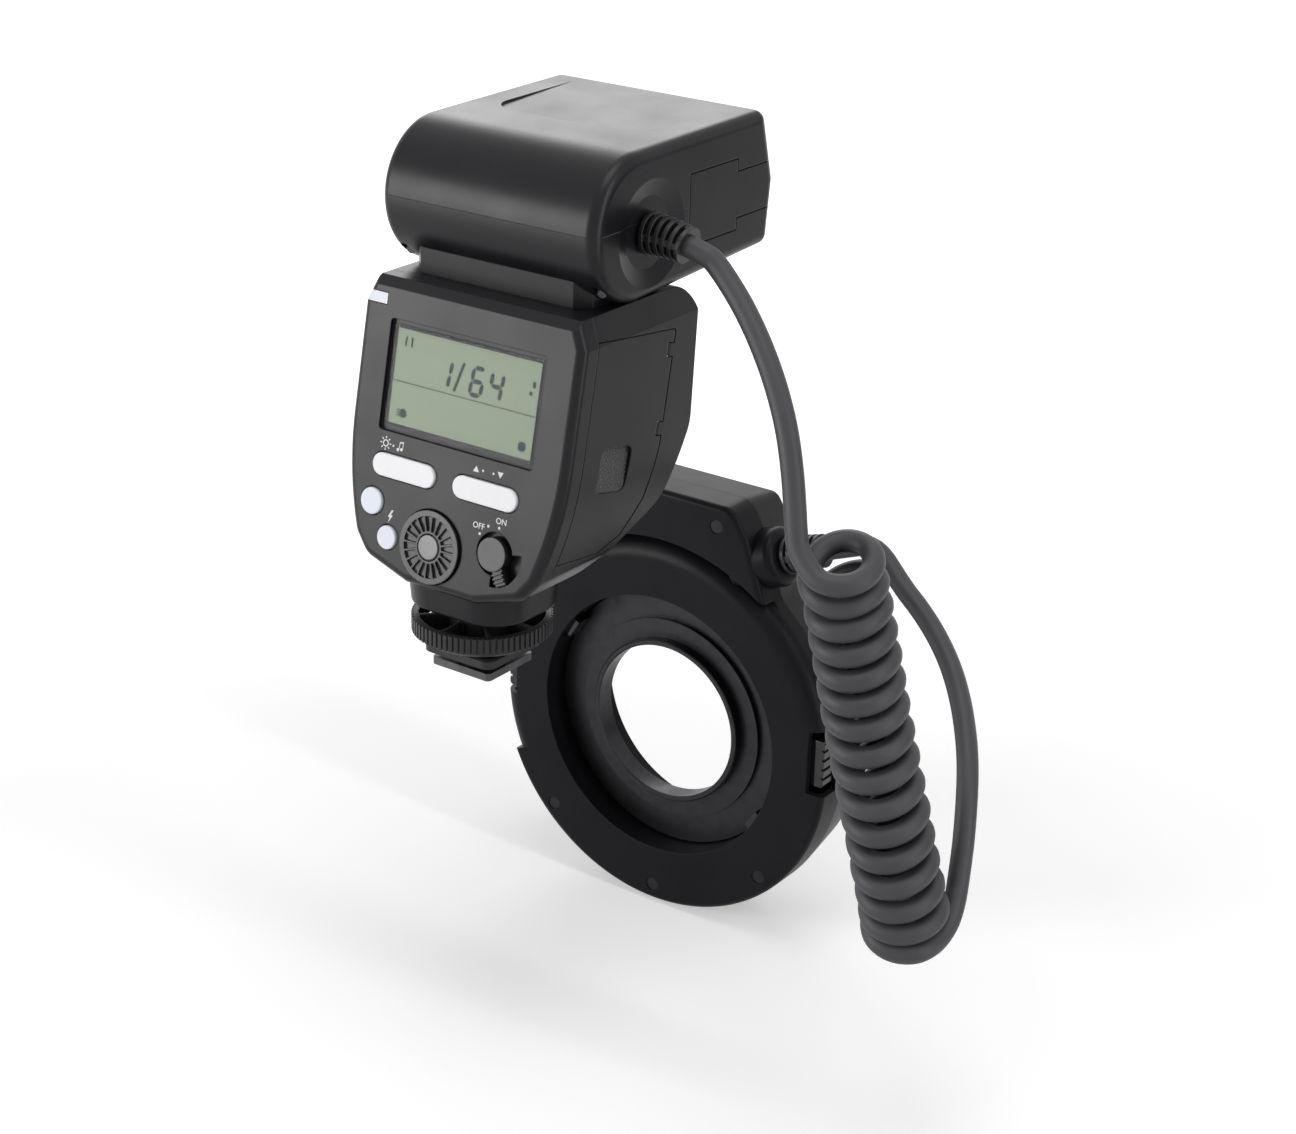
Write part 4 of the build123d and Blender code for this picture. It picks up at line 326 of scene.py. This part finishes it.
def grained(name, colour, roughness, grain, depth, gloss=0.5, mottle=0.15, wear_and_highlight=0.0):
    """A moulded or coated surface: fine grain in its bump, a little mottling, and paler edges: wear and
    painted highlight.
    """
    finish = bpy.data.materials.new(name)
    finish.use_nodes = True
    tree = finish.node_tree
    shader = tree.nodes["Principled BSDF"]
    shader.inputs["Specular IOR Level"].default_value = gloss
    place = tree.nodes.new("ShaderNodeTexCoord")
    fine = tree.nodes.new("ShaderNodeTexNoise")
    fine.inputs["Scale"].default_value = 1 / (grain * MM)
    fine.inputs["Detail"].default_value = 2.0
    fine.inputs["Roughness"].default_value = grain_softness
    broad = tree.nodes.new("ShaderNodeTexNoise")
    broad.inputs["Scale"].default_value = mottle_scale
    broad.inputs["Detail"].default_value = 4.0
    bump = tree.nodes.new("ShaderNodeBump")
    bump.inputs["Distance"].default_value = depth * MM
    bump.inputs["Strength"].default_value = 1.0
    tint = tree.nodes.new("ShaderNodeMapRange")
    tint.inputs["From Min"].default_value, tint.inputs["From Max"].default_value = mottle_reach
    tint.inputs["To Min"].default_value = 1 - mottle
    tint.inputs["To Max"].default_value = 1 + mottle
    paint = tree.nodes.new("ShaderNodeVectorMath")
    paint.operation = "SCALE"
    paint.inputs[0].default_value = colour[:3]
    sheen = tree.nodes.new("ShaderNodeMapRange")
    sheen.inputs["From Min"].default_value, sheen.inputs["From Max"].default_value = sheen_reach
    sheen.inputs["To Min"].default_value = roughness - sheen_spread
    sheen.inputs["To Max"].default_value = roughness + sheen_spread
    for texture in (fine, broad):
        tree.links.new(place.outputs["Object"], texture.inputs["Vector"])
    tree.links.new(fine.outputs["Fac"], bump.inputs["Height"])
    tree.links.new(broad.outputs["Fac"], tint.inputs["Value"])
    tree.links.new(tint.outputs["Result"], paint.inputs["Scale"])
    tree.links.new(broad.outputs["Fac"], sheen.inputs["Value"])
    tree.links.new(sheen.outputs["Result"], shader.inputs["Roughness"])
    tree.links.new(bump.outputs["Normal"], shader.inputs["Normal"])
    if not wear_and_highlight:
        tree.links.new(paint.outputs["Vector"], shader.inputs["Base Color"])
        return finish
    # Paler colour along the rounded edges: partly wear, partly a painted highlight where the edges would
    # catch the light.
    rounding = tree.nodes.new("ShaderNodeBevel")
    rounding.samples = 6
    rounding.inputs["Radius"].default_value = edge_round_radius
    surface = tree.nodes.new("ShaderNodeNewGeometry")
    same = tree.nodes.new("ShaderNodeVectorMath")
    same.operation = "DOT_PRODUCT"
    edge = tree.nodes.new("ShaderNodeMapRange")
    edge.inputs["From Min"].default_value, edge.inputs["From Max"].default_value = wear_and_highlight_reach
    edge.inputs["To Min"].default_value = 0.0
    edge.inputs["To Max"].default_value = wear_and_highlight
    wear_and_highlight_mix = tree.nodes.new("ShaderNodeMix")
    wear_and_highlight_mix.data_type = "RGBA"
    wear_and_highlight_mix.inputs["B"].default_value = wear_and_highlight_colour
    tree.links.new(rounding.outputs["Normal"], same.inputs[0])
    tree.links.new(surface.outputs["Normal"], same.inputs[1])
    tree.links.new(same.outputs["Value"], edge.inputs["Value"])
    tree.links.new(edge.outputs["Result"], wear_and_highlight_mix.inputs["Factor"])
    tree.links.new(paint.outputs["Vector"], wear_and_highlight_mix.inputs["A"])
    tree.links.new(wear_and_highlight_mix.outputs["Result"], shader.inputs["Base Color"])
    tree.links.new(rounding.outputs["Normal"], bump.inputs["Normal"])
    return finish


cord_rubber = grained("cord_rubber", cord_colour, 0.52, 0.35, 0.010, gloss=0.4, mottle=0.12)
upper_points = [upper_start, upper_start + upper_way * upper_first] + upper_route
coil_steps = range(int(coil_first_turn * points_a_turn), int(coil_turns * points_a_turn) + 1)
helix = [coil_point(step / points_a_turn) for step in coil_steps]
curly_points = upper_points + helix + coil_tail + [coil_end]
cord_to_coil = piece_of("curly_cord", cord_curve("curly_cord", curly_points, cord_thick), "control_unit")
cord_to_coil.data.materials.append(cord_rubber)
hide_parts("cord_upper", "cord_coil")

coil_out = (Vector(lower_route[0]) - coil_end).normalized()
lower_points = [coil_end, coil_end + coil_out * lower_first_run] + lower_route
lower_points += [lower_end + socket_way * run for run in socket_runs] + [lower_end]
bare_line = piece_of("lower_line", cord_curve("lower_line", lower_points, 0))
round_line = piece_of("lower_tube", cord_curve("lower_tube", lower_points, cord_thick))
seen_scene = bpy.context.evaluated_depsgraph_get()
lower_line, lower_mesh = [bpy.data.meshes.new_from_object(line.evaluated_get(seen_scene))
                          for line in (bare_line, round_line)]
for helper in (bare_line, round_line):
    bpy.data.objects.remove(helper)
lower_mesh.materials.clear()
lower_mesh.materials.append(cord_rubber)
lower_mesh.shade_smooth()
cord_below = piece_of("cord_to_ring", lower_mesh)
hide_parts("cord_lower")
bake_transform(cord_below)


# Shoe foot, its flange screws and the contact pins
# The plate that slides into the shoe is a blackened steel casting with worn corners. Five gold-plated
# pins stand in it, and a plain steel pin drops into the shoe's hole when the wheel is screwed down.
def dress(finish, *names):
    """Gives nodes of the flash one finish in place of the plain one."""
    for name in names:
        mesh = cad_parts[name].data
        mesh.materials.clear()
        mesh.materials.append(finish)


brush_scale = 3000.0
tarnish_scale = 260.0
tarnish_reach = (0.35, 0.7)
polish_gain = 0.08
polish_loss = 0.12


def metal(name, colour, roughness, brush=0.0, stretch=(1, 1, 1), tarnish=0.12):
    """A bare or plated metal: brush lines in its bump and a little uneven tarnish."""
    finish = bpy.data.materials.new(name)
    finish.use_nodes = True
    tree = finish.node_tree
    shader = tree.nodes["Principled BSDF"]
    shader.inputs["Metallic"].default_value = 1.0
    place = tree.nodes.new("ShaderNodeTexCoord")
    lay = tree.nodes.new("ShaderNodeMapping")
    lay.inputs["Scale"].default_value = stretch
    lines = tree.nodes.new("ShaderNodeTexNoise")
    lines.inputs["Scale"].default_value = brush_scale
    lines.inputs["Detail"].default_value = 3.0
    cloud = tree.nodes.new("ShaderNodeTexNoise")
    cloud.inputs["Scale"].default_value = tarnish_scale
    cloud.inputs["Detail"].default_value = 5.0
    bump = tree.nodes.new("ShaderNodeBump")
    bump.inputs["Distance"].default_value = brush * MM
    rough = tree.nodes.new("ShaderNodeMapRange")
    rough.inputs["To Min"].default_value = roughness - polish_gain
    rough.inputs["To Max"].default_value = roughness + polish_loss
    dull = tree.nodes.new("ShaderNodeMapRange")
    dull.inputs["From Min"].default_value, dull.inputs["From Max"].default_value = tarnish_reach
    dull.inputs["To Min"].default_value = 1.0
    dull.inputs["To Max"].default_value = 1 - tarnish
    paint = tree.nodes.new("ShaderNodeVectorMath")
    paint.operation = "SCALE"
    paint.inputs[0].default_value = colour
    tree.links.new(place.outputs["Object"], lay.inputs["Vector"])
    tree.links.new(lay.outputs["Vector"], lines.inputs["Vector"])
    tree.links.new(place.outputs["Object"], cloud.inputs["Vector"])
    tree.links.new(lines.outputs["Fac"], bump.inputs["Height"])
    tree.links.new(cloud.outputs["Fac"], rough.inputs["Value"])
    tree.links.new(cloud.outputs["Fac"], dull.inputs["Value"])
    tree.links.new(dull.outputs["Result"], paint.inputs["Scale"])
    tree.links.new(paint.outputs["Vector"], shader.inputs["Base Color"])
    tree.links.new(rough.outputs["Result"], shader.inputs["Roughness"])
    tree.links.new(bump.outputs["Normal"], shader.inputs["Normal"])
    return finish


blackened = metal("blackened_steel", (0.10, 0.10, 0.105), 0.38, 0.006, (1, 8, 8), 0.35)
gold_plate = metal("gold_plate", (0.83, 0.62, 0.28), 0.22, 0.0, tarnish=0.1)
plain_steel = metal("plain_steel", (0.55, 0.55, 0.56), 0.28, 0.003, (1, 1, 10))
dress(blackened, "foot_plate")
dress(gold_plate, "contact_pins")
dress(plain_steel, "lock_pin", "door_hinge_pin")


# Locking wheel and clamp plate
# The toothed wheel is a tough black nylon moulding, a shade rougher than the casing, and the square
# plate that it presses on the rails is the same.
nylon = grained("wheel_nylon", (0.012, 0.012, 0.0135), 0.46, 0.30, 0.012, gloss=0.33, wear_and_highlight=0.10)
dress(nylon, "lock_wheel", "clamp_plate")


# Stem, casings and upper box
# All the shells are one black plastic with a fine spark-eroded grain, satin on the flat faces, and with
# paler corners, partly wear from handling and partly a painted highlight. The ring head's shells are the
# same plastic made rougher and less glossy, so that they render darker: a painted shade.
casing_colour = (0.0085, 0.0085, 0.0105)
shell_plastic = grained("shell_plastic", casing_colour, 0.33, 0.26, 0.018, gloss=0.22, wear_and_highlight=0.05)
dress(shell_plastic, "stem", "rear_cover", "front_casing", "battery_door", "box_upper")
dress(shell_plastic, "box_lower", "box_front_cover")
# The ring head's copy of the shell plastic, rougher and less glossy: a painted shade that darkens the ring
# head.
shaded_ring_plastic = grained("shaded_ring_plastic", casing_colour, 0.38, 0.26, 0.018, gloss=0.10, wear_and_highlight=0.05)
dress(shaded_ring_plastic, "ring_rear_shell", "ring_front_shell", "socket_boss", "battery_tray")
screw_steel = metal("screw_steel", (0.035, 0.035, 0.038), 0.35, 0.004, (1, 1, 1), 0.3)
dress(screw_steel, "foot_screws", "box_screws", "ring_screws")


# Cord reliefs
# Black rubber collars with rings and slots, which get smaller towards the cord and let it bend gently.
# One stands in the dish of the box's right side, and one in the boss on the ring head.
relief_rubber = grained("relief_rubber", (0.014, 0.014, 0.0155), 0.40, 0.5, 0.006, gloss=0.45, wear_and_highlight=0.06)
dress(relief_rubber, "relief_upper", "relief_ring")


# Display
# A reflective liquid crystal pane, sage green, behind a clear acrylic window. Its dark segments show
# plain figures, and a line crosses it under them. Small round marks sit in its corners.
panel_lean = math.radians(11.44)
panel_foot = Vector((0, -17.8, 24.0))
panel_across = Vector((1, 0, 0))
panel_rise = Vector((0, math.sin(panel_lean), math.cos(panel_lean)))
panel_out = Vector((0, -math.cos(panel_lean), math.sin(panel_lean)))
display_x = -0.4
display_v = 50.7
display_width = 42.9
display_height = 22.6
figure_depth = 1.105
figure_thick = 0.03
pane_depth = 1.125
pane_width = 44.4
pane_height = 23.6


def on_panel(x, v, depth):
    """A place on the control panel: across, up its slope, and how deep behind its face."""
    return (panel_foot + panel_across * x + panel_rise * v - panel_out * depth) * MM


def plate(work, low, high):
    """A closed plate between two outlines of as many points."""
    low, high = [[work.verts.new(point) for point in outline] for outline in (low, high)]
    work.faces.new(high)
    work.faces.new(list(reversed(low)))
    for step in range(len(low)):
        other = (step + 1) % len(low)
        work.faces.new((low[step], low[other], high[other], high[step]))


def finished(name, work, finish, body):
    """The piece that a bmesh has become, in its finish, riding on its body."""
    bmesh.ops.recalc_face_normals(work, faces=work.faces)
    mesh = bpy.data.meshes.new(name)
    work.to_mesh(mesh)
    work.free()
    mesh.materials.append(finish)
    piece = piece_of(name, mesh, body)
    return piece


def flat_marks(name, outlines, depth, thick, finish):
    """Thin printed or lit marks on the panel, each given by the corners of its outline."""
    work = bmesh.new()
    for outline in outlines:
        plate(work, *([on_panel(x, v, level) for x, v in outline] for level in (depth, depth - thick)))
    finished(name, work, finish, "control_unit")


def slanted(points, x, v, size, slant):
    """Outline points of a figure, scaled, slanted to the right and moved to their place."""
    return [(x + (a + b * slant) * size, v + b * size) for a, b in points]


bar_half = 0.088
bar_cut = 0.02
figure_width = 0.5


def segment(x0, v0, x1, v1):
    """One bar of a seven-bar figure, with pointed ends, between two of its corners."""
    way = Vector((x1 - x0, v1 - v0)).normalized()
    side = Vector((-way.y, way.x)) * bar_half
    a = Vector((x0, v0)) + way * bar_cut
    b = Vector((x1, v1)) - way * bar_cut
    return [tuple(a), tuple(a + way * bar_half + side), tuple(b - way * bar_half + side),
            tuple(b), tuple(b - way * bar_half - side), tuple(a + way * bar_half - side)]


bars = {
    "a": (0, 1, figure_width, 1), "b": (figure_width, 1, figure_width, 0.5),
    "c": (figure_width, 0.5, figure_width, 0), "d": (0, 0, figure_width, 0),
    "e": (0, 0.5, 0, 0), "f": (0, 1, 0, 0.5), "g": (0, 0.5, figure_width, 0.5),
}
figure_bars = {"1": "bc", "6": "acdefg", "4": "bcfg"}
figure_height = 6.6
figure_slant = 0.12
figure_foot = 50.9
figure_spots = (("1", -8.9), ("6", 1.2), ("4", 7.0))
stroke_spot = -3.9
figures = []
for figure, spot in figure_spots:
    for bar in figure_bars[figure]:
        figures.append(slanted(segment(*bars[bar]), spot, figure_foot, figure_height, figure_slant))
stroke = [(0.0, -0.06), (0.14, -0.06), (0.34, 1.06), (0.20, 1.06)]
figures.append(slanted(stroke, stroke_spot, figure_foot, figure_height, figure_slant))


def disc(x, v, radius, corners=24):
    """Corner points of a round mark."""
    turns = [2 * math.pi * step / corners for step in range(corners)]
    return [(x + radius * math.cos(a), v + radius * math.sin(a)) for a in turns]


def block(x, v, width, height):
    """Corner points of a square mark, from its middle."""
    return [(x - width / 2, v - height / 2), (x + width / 2, v - height / 2),
            (x + width / 2, v + height / 2), (x - width / 2, v + height / 2)]


left = display_x - display_width / 2
foot = display_v - display_height / 2
rule_v = 49.5
rule_height = 0.24
pane_edge = 0.2
# Small marks from the display's lower left corner: round ones, then square ones by width and height
round_marks = [(display_width - 2.2, 2.3, 1.25), (3.6, 2.4, 1.15)]
square_marks = [
    (2.0, 1.7, 0.9, 0.35), (2.0, 2.4, 0.9, 0.35), (2.0, 3.1, 0.9, 0.35), (2.0, 20.2, 0.6, 2.4),
    (3.9, 20.2, 0.6, 2.4), (display_width - 0.8, 17.6, 0.9, 1.6), (display_width - 1.5, 15.4, 0.9, 1.0),
]
marks = [block(display_x, rule_v, pane_width - pane_edge * 2, rule_height)]
marks += [disc(left + x, foot + v, radius) for x, v, radius in round_marks]
marks += [block(left + x, foot + v, width, height) for x, v, width, height in square_marks]
segment_ink = grained("segment_ink", (0.020, 0.042, 0.040), 0.5, 0.4, 0.0, gloss=0.3)
flat_marks("display_figures", figures + marks, figure_depth, figure_thick, segment_ink)

crystal = grained("liquid_crystal", (0.31, 0.38, 0.265), 0.45, 0.22, 0.002, gloss=0.3, mottle=0.04)
dress(crystal, "display_module")
pane = block(display_x, display_v, pane_width, pane_height)
flat_marks("display_pane", [pane], pane_depth, figure_thick, crystal)


acrylic_bend = 1.49
smear_scale = 120.0
smear_spread = 0.03


def clear(name, colour, roughness, see_through, grain=0.0):
    """Clear or tinted acrylic or glass, told by how much shows through it."""
    finish = bpy.data.materials.new(name)
    finish.use_nodes = True
    tree = finish.node_tree
    shader = tree.nodes["Principled BSDF"]
    shader.inputs["Base Color"].default_value = (*colour, 1)
    shader.inputs["Alpha"].default_value = 1 - see_through
    shader.inputs["IOR"].default_value = acrylic_bend
    place = tree.nodes.new("ShaderNodeTexCoord")
    smear = tree.nodes.new("ShaderNodeTexNoise")
    smear.inputs["Scale"].default_value = smear_scale
    smear.inputs["Detail"].default_value = 3.0
    rough = tree.nodes.new("ShaderNodeMapRange")
    rough.inputs["To Min"].default_value = roughness
    rough.inputs["To Max"].default_value = roughness + smear_spread
    tree.links.new(place.outputs["Object"], smear.inputs["Vector"])
    tree.links.new(smear.outputs["Fac"], rough.inputs["Value"])
    tree.links.new(rough.outputs["Result"], shader.inputs["Roughness"])
    if grain:
        bump = tree.nodes.new("ShaderNodeBump")
        bump.inputs["Distance"].default_value = grain * MM
        tree.links.new(smear.outputs["Fac"], bump.inputs["Height"])
        tree.links.new(bump.outputs["Normal"], shader.inputs["Normal"])
    return finish


window_acrylic = clear("window_acrylic", (0.02, 0.02, 0.02), 0.02, 0.94)
dress(window_acrylic, "display_window")


# Keys
# Two long rocker keys and two round ones, soft milky white silicone that shines a little from within.
# The round ones are a shade bluer.
waxy_share = 0.25
waxy_spread = (1.0, 1.0, 1.1)
waxy_depth = 1.2 * MM


def milky(name, colour, roughness):
    """Milky silicone or acrylic: pale, soft, with a faint waxy depth."""
    finish = grained(name, (*colour, 1), roughness, 0.6, 0.004, gloss=0.45, mottle=0.02)
    shader = finish.node_tree.nodes["Principled BSDF"]
    shader.inputs["Subsurface Weight"].default_value = waxy_share
    shader.inputs["Subsurface Radius"].default_value = waxy_spread
    shader.inputs["Subsurface Scale"].default_value = waxy_depth
    return finish


white_key = milky("white_key", (0.90, 0.90, 0.925), 0.42)
blue_key = milky("blue_white_key", (0.78, 0.81, 0.90), 0.40)
dress(white_key, "rocker_left", "rocker_right")
dress(blue_key, "mode_button", "lamp_button", "corner_window")


# Dial, set button and power switch
# The dial is satin black with moulded strokes, its hub is glossy and bare, and the power switch is a
# satin knob with a ribbed tab.
hub_gloss = grained("hub_gloss", (0.008, 0.008, 0.0095), 0.12, 1.5, 0.002, gloss=0.5, wear_and_highlight=0.05)
knob_plastic = grained("knob_plastic", (0.012, 0.012, 0.0135), 0.33, 0.35, 0.008, gloss=0.45, wear_and_highlight=0.12)
dress(knob_plastic, "control_dial", "power_switch")
dress(hub_gloss, "set_button", "release_right", "release_left")


# Printed marks on the panel
# White pad-printed signs beside the keys: a lamp, a note, arrows, a flash of lightning, dots, and ON
# and OFF beside the power switch.
mark_depth = 0.0
mark_thick = 0.03
word_height = 1.5
word_bold = 0.02
capital_share = 0.72
lamp_sign = (-21.6, 33.7)
lamp_ring = (0.62, 0.92)
lamp_rays = (1.18, 1.75, 0.30)
lamp_ray_count = 8
round_signs = [
    (-19.1, 33.5, 0.3), (-17.6, 32.9, 0.4), (-16.5, 33.1, 0.4), (9.2, 33.7, 0.3), (12.4, 33.7, 0.3),
    (10.6, 18.4, 0.35), (12.9, 20.8, 0.35), (16.2, 21.1, 0.35),
]
note_stems = [
    [(-17.35, 32.9), (-17.15, 32.9), (-17.0, 34.9), (-17.2, 34.9)],
    [(-16.25, 33.1), (-16.05, 33.1), (-15.9, 35.1), (-16.1, 35.1)],
    [(-17.2, 34.5), (-16.1, 34.7), (-16.1, 35.1), (-17.2, 34.9)],
]
arrows = [[(6.2, 33.0), (8.0, 33.0), (7.1, 34.5)], [(13.6, 34.5), (15.4, 34.5), (14.5, 33.0)]]
lightning = [
    (-17.2, 17.6), (-18.2, 15.7), (-17.6, 15.7), (-18.0, 14.2), (-16.7, 16.3), (-17.3, 16.3), (-16.6, 17.6),
]
print_white = grained("print_white", (0.80, 0.80, 0.80), 0.5, 0.4, 0.002, gloss=0.3, mottle=0.02)


def written(name, text, x, v):
    """A short word printed on the panel, centred on its place."""
    font = bpy.data.curves.new(name, "FONT")
    font.body = text
    font.size = word_height * MM / capital_share
    font.align_x = "CENTER"
    font.align_y = "CENTER"
    font.extrude = mark_thick / 2 * MM
    font.offset = word_bold * MM
    font.materials.append(print_white)
    piece = bpy.data.objects.new(name, font)
    facing = Matrix((panel_across, panel_rise, panel_out)).transposed().to_4x4()
    piece.matrix_world = Matrix.Translation(on_panel(x, v, mark_depth - mark_thick / 2)) @ facing
    bpy.context.scene.collection.objects.link(piece)
    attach(piece, "control_unit")


def ray(x, v, inner, outer, width, angle):
    """Corner points of one ray of the lamp sign."""
    way = Vector((math.cos(angle), math.sin(angle)))
    side = Vector((-way.y, way.x)) * width / 2
    middle = Vector((x, v))
    return [tuple(middle + way * inner + side), tuple(middle + way * inner - side),
            tuple(middle + way * outer - side), tuple(middle + way * outer + side)]


def ring_pieces(x, v, inner, outer, count=16):
    """Corner points of the short pieces that make a printed ring."""
    turns = [2 * math.pi * step / count for step in range(count + 1)]
    return [[(x + r * math.cos(a), v + r * math.sin(a)) for r, a in
             ((inner, a0), (outer, a0), (outer, a1), (inner, a1))] for a0, a1 in zip(turns, turns[1:])]


signs = ring_pieces(*lamp_sign, *lamp_ring)
for step in range(lamp_ray_count):
    signs.append(ray(*lamp_sign, *lamp_rays, 2 * math.pi * step / lamp_ray_count))
signs += [disc(*spot) for spot in round_signs] + note_stems + arrows + [lightning]
flat_marks("panel_signs", signs, mark_depth, mark_thick, print_white)
written("word_on", "ON", 16.6, 22.7)
written("word_off", "OFF", 10.0, 20.2)


# Thumb pad of the battery door
# A moulded rubber pad, pressed into a shallow pocket of the door, with a diamond mesh of tiny pyramids
# for the user's thumb to grip.
pad_node = "door_thumb_pad"
pad_width = 12.4
pad_height = 11.5
pad_round = 2.0
pad_corner_steps = 6
pad_thick = 1.15
pad_stud = 0.55
pad_stud_height = 0.30
pad_rubber = grained("pad_rubber", (0.022, 0.022, 0.023), 0.42, 0.4, 0.004, gloss=0.6)
pad_low, pad_high = (Vector(corner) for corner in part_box(pad_node))
pad_middle = (pad_low + pad_high) / 2


def on_pad(depth, rise, height):
    """A place on the pad: away from the panel, up its slope, and out from the pad's face."""
    place = pad_middle + (panel_rise * rise - panel_out * depth) * MM
    place.x = pad_high.x + (height - pad_stud_height) * MM
    return place


def on_pad_face(depth, rise, margin):
    """Whether a stud's middle is inside the pad's rounded outline by a margin."""
    over = [max(0, abs(depth) - pad_width / 2 + pad_round), max(0, abs(rise) - pad_height / 2 + pad_round)]
    return math.hypot(*over) <= pad_round - margin


pad_outline = []
for corner, (x, v) in enumerate(((1, 1), (-1, 1), (-1, -1), (1, -1))):
    for step in range(pad_corner_steps + 1):
        angle = (corner + step / pad_corner_steps) * math.pi / 2
        pad_outline.append((x * (pad_width / 2 - pad_round) + pad_round * math.cos(angle),
                            v * (pad_height / 2 - pad_round) + pad_round * math.sin(angle)))
pad_work = bmesh.new()
pad_levels = (pad_stud_height - pad_thick, 0)
plate(pad_work, *([on_pad(x, v, level) for x, v in pad_outline] for level in pad_levels))
stud_count = int(pad_width / pad_stud)
stud_around = ((1, 0), (0, 1), (-1, 0), (0, -1))
for column, row in itertools.product(range(-stud_count, stud_count + 1), repeat=2):
    depth, rise = column * pad_stud, row * pad_stud
    if (column + row) % 2 or not on_pad_face(depth, rise, pad_stud):
        continue
    stud_corners = [(depth + a * pad_stud, rise + b * pad_stud) for a, b in stud_around]
    stud_foot = [pad_work.verts.new(on_pad(x, v, -pad_stud_height / 4)) for x, v in stud_corners]
    tip = pad_work.verts.new(on_pad(depth, rise, pad_stud_height))
    pad_work.faces.new(list(reversed(stud_foot)))
    for step in range(4):
        pad_work.faces.new((stud_foot[step], stud_foot[(step + 1) % 4], tip))
thumb_pad = finished("thumb_pad", pad_work, pad_rubber, "door")
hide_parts(pad_node)


# Front window, lamps and everything behind the ring's glass
# The control unit's front window is dark red acrylic. The ring head's diffusers are ribbed and milky,
# over bright reflector troughs with a glass flash tube in each, and four white lamps stand between.
red_acrylic = clear("red_acrylic", (0.045, 0.004, 0.006), 0.08, 0.12)
diffuser_acrylic = clear("diffuser_acrylic", (0.86, 0.87, 0.86), 0.22, 0.35, 0.02)
tube_glass = clear("tube_glass", (0.90, 0.92, 0.95), 0.03, 0.55)
lamp_epoxy = milky("lamp_epoxy", (0.93, 0.92, 0.84), 0.15)
bright_aluminium = metal("bright_aluminium", (0.86, 0.86, 0.87), 0.18, 0.002)
dress(red_acrylic, "front_window")
dress(diffuser_acrylic, "diffusers")
dress(tube_glass, "flash_tubes")
dress(lamp_epoxy, "focus_lamps")
dress(bright_aluminium, "reflectors")


# Adapter ring
# A turned and black-anodised aluminium ring, screwed to the lens. The ring head's claws grip its thin
# rim, and the head turns on it.
anodised = metal("black_anodised", (0.040, 0.040, 0.044), 0.36, 0.004, (1, 12, 1), 0.2)
dress(anodised, "adapter_ring")


# Inside of the control unit and of the ring head
# Four wrapped cells in their tray, nickel contacts, green lacquered boards, and a capacitor wrapped in
# dark film. The two release springs in the ring head are plain steel.
nickel = metal("nickel_plate", (0.72, 0.71, 0.70), 0.22, 0.002)
cell_wrap = grained("cell_wrap", (0.10, 0.13, 0.17), 0.28, 1.2, 0.004, gloss=0.5, mottle=0.06)
capacitor_wrap = grained("capacitor_wrap", (0.020, 0.024, 0.040), 0.26, 1.2, 0.004, gloss=0.5, mottle=0.06)
board_lacquer = grained("board_lacquer", (0.020, 0.110, 0.050), 0.30, 0.9, 0.006, gloss=0.5)
dress(nickel, "battery_contacts", "door_contacts")
dress(cell_wrap, "battery_cells")
dress(capacitor_wrap, "capacitor")
dress(board_lacquer, "main_board", "flash_board", "ring_board")
dress(plain_steel, "spring_right", "spring_left")
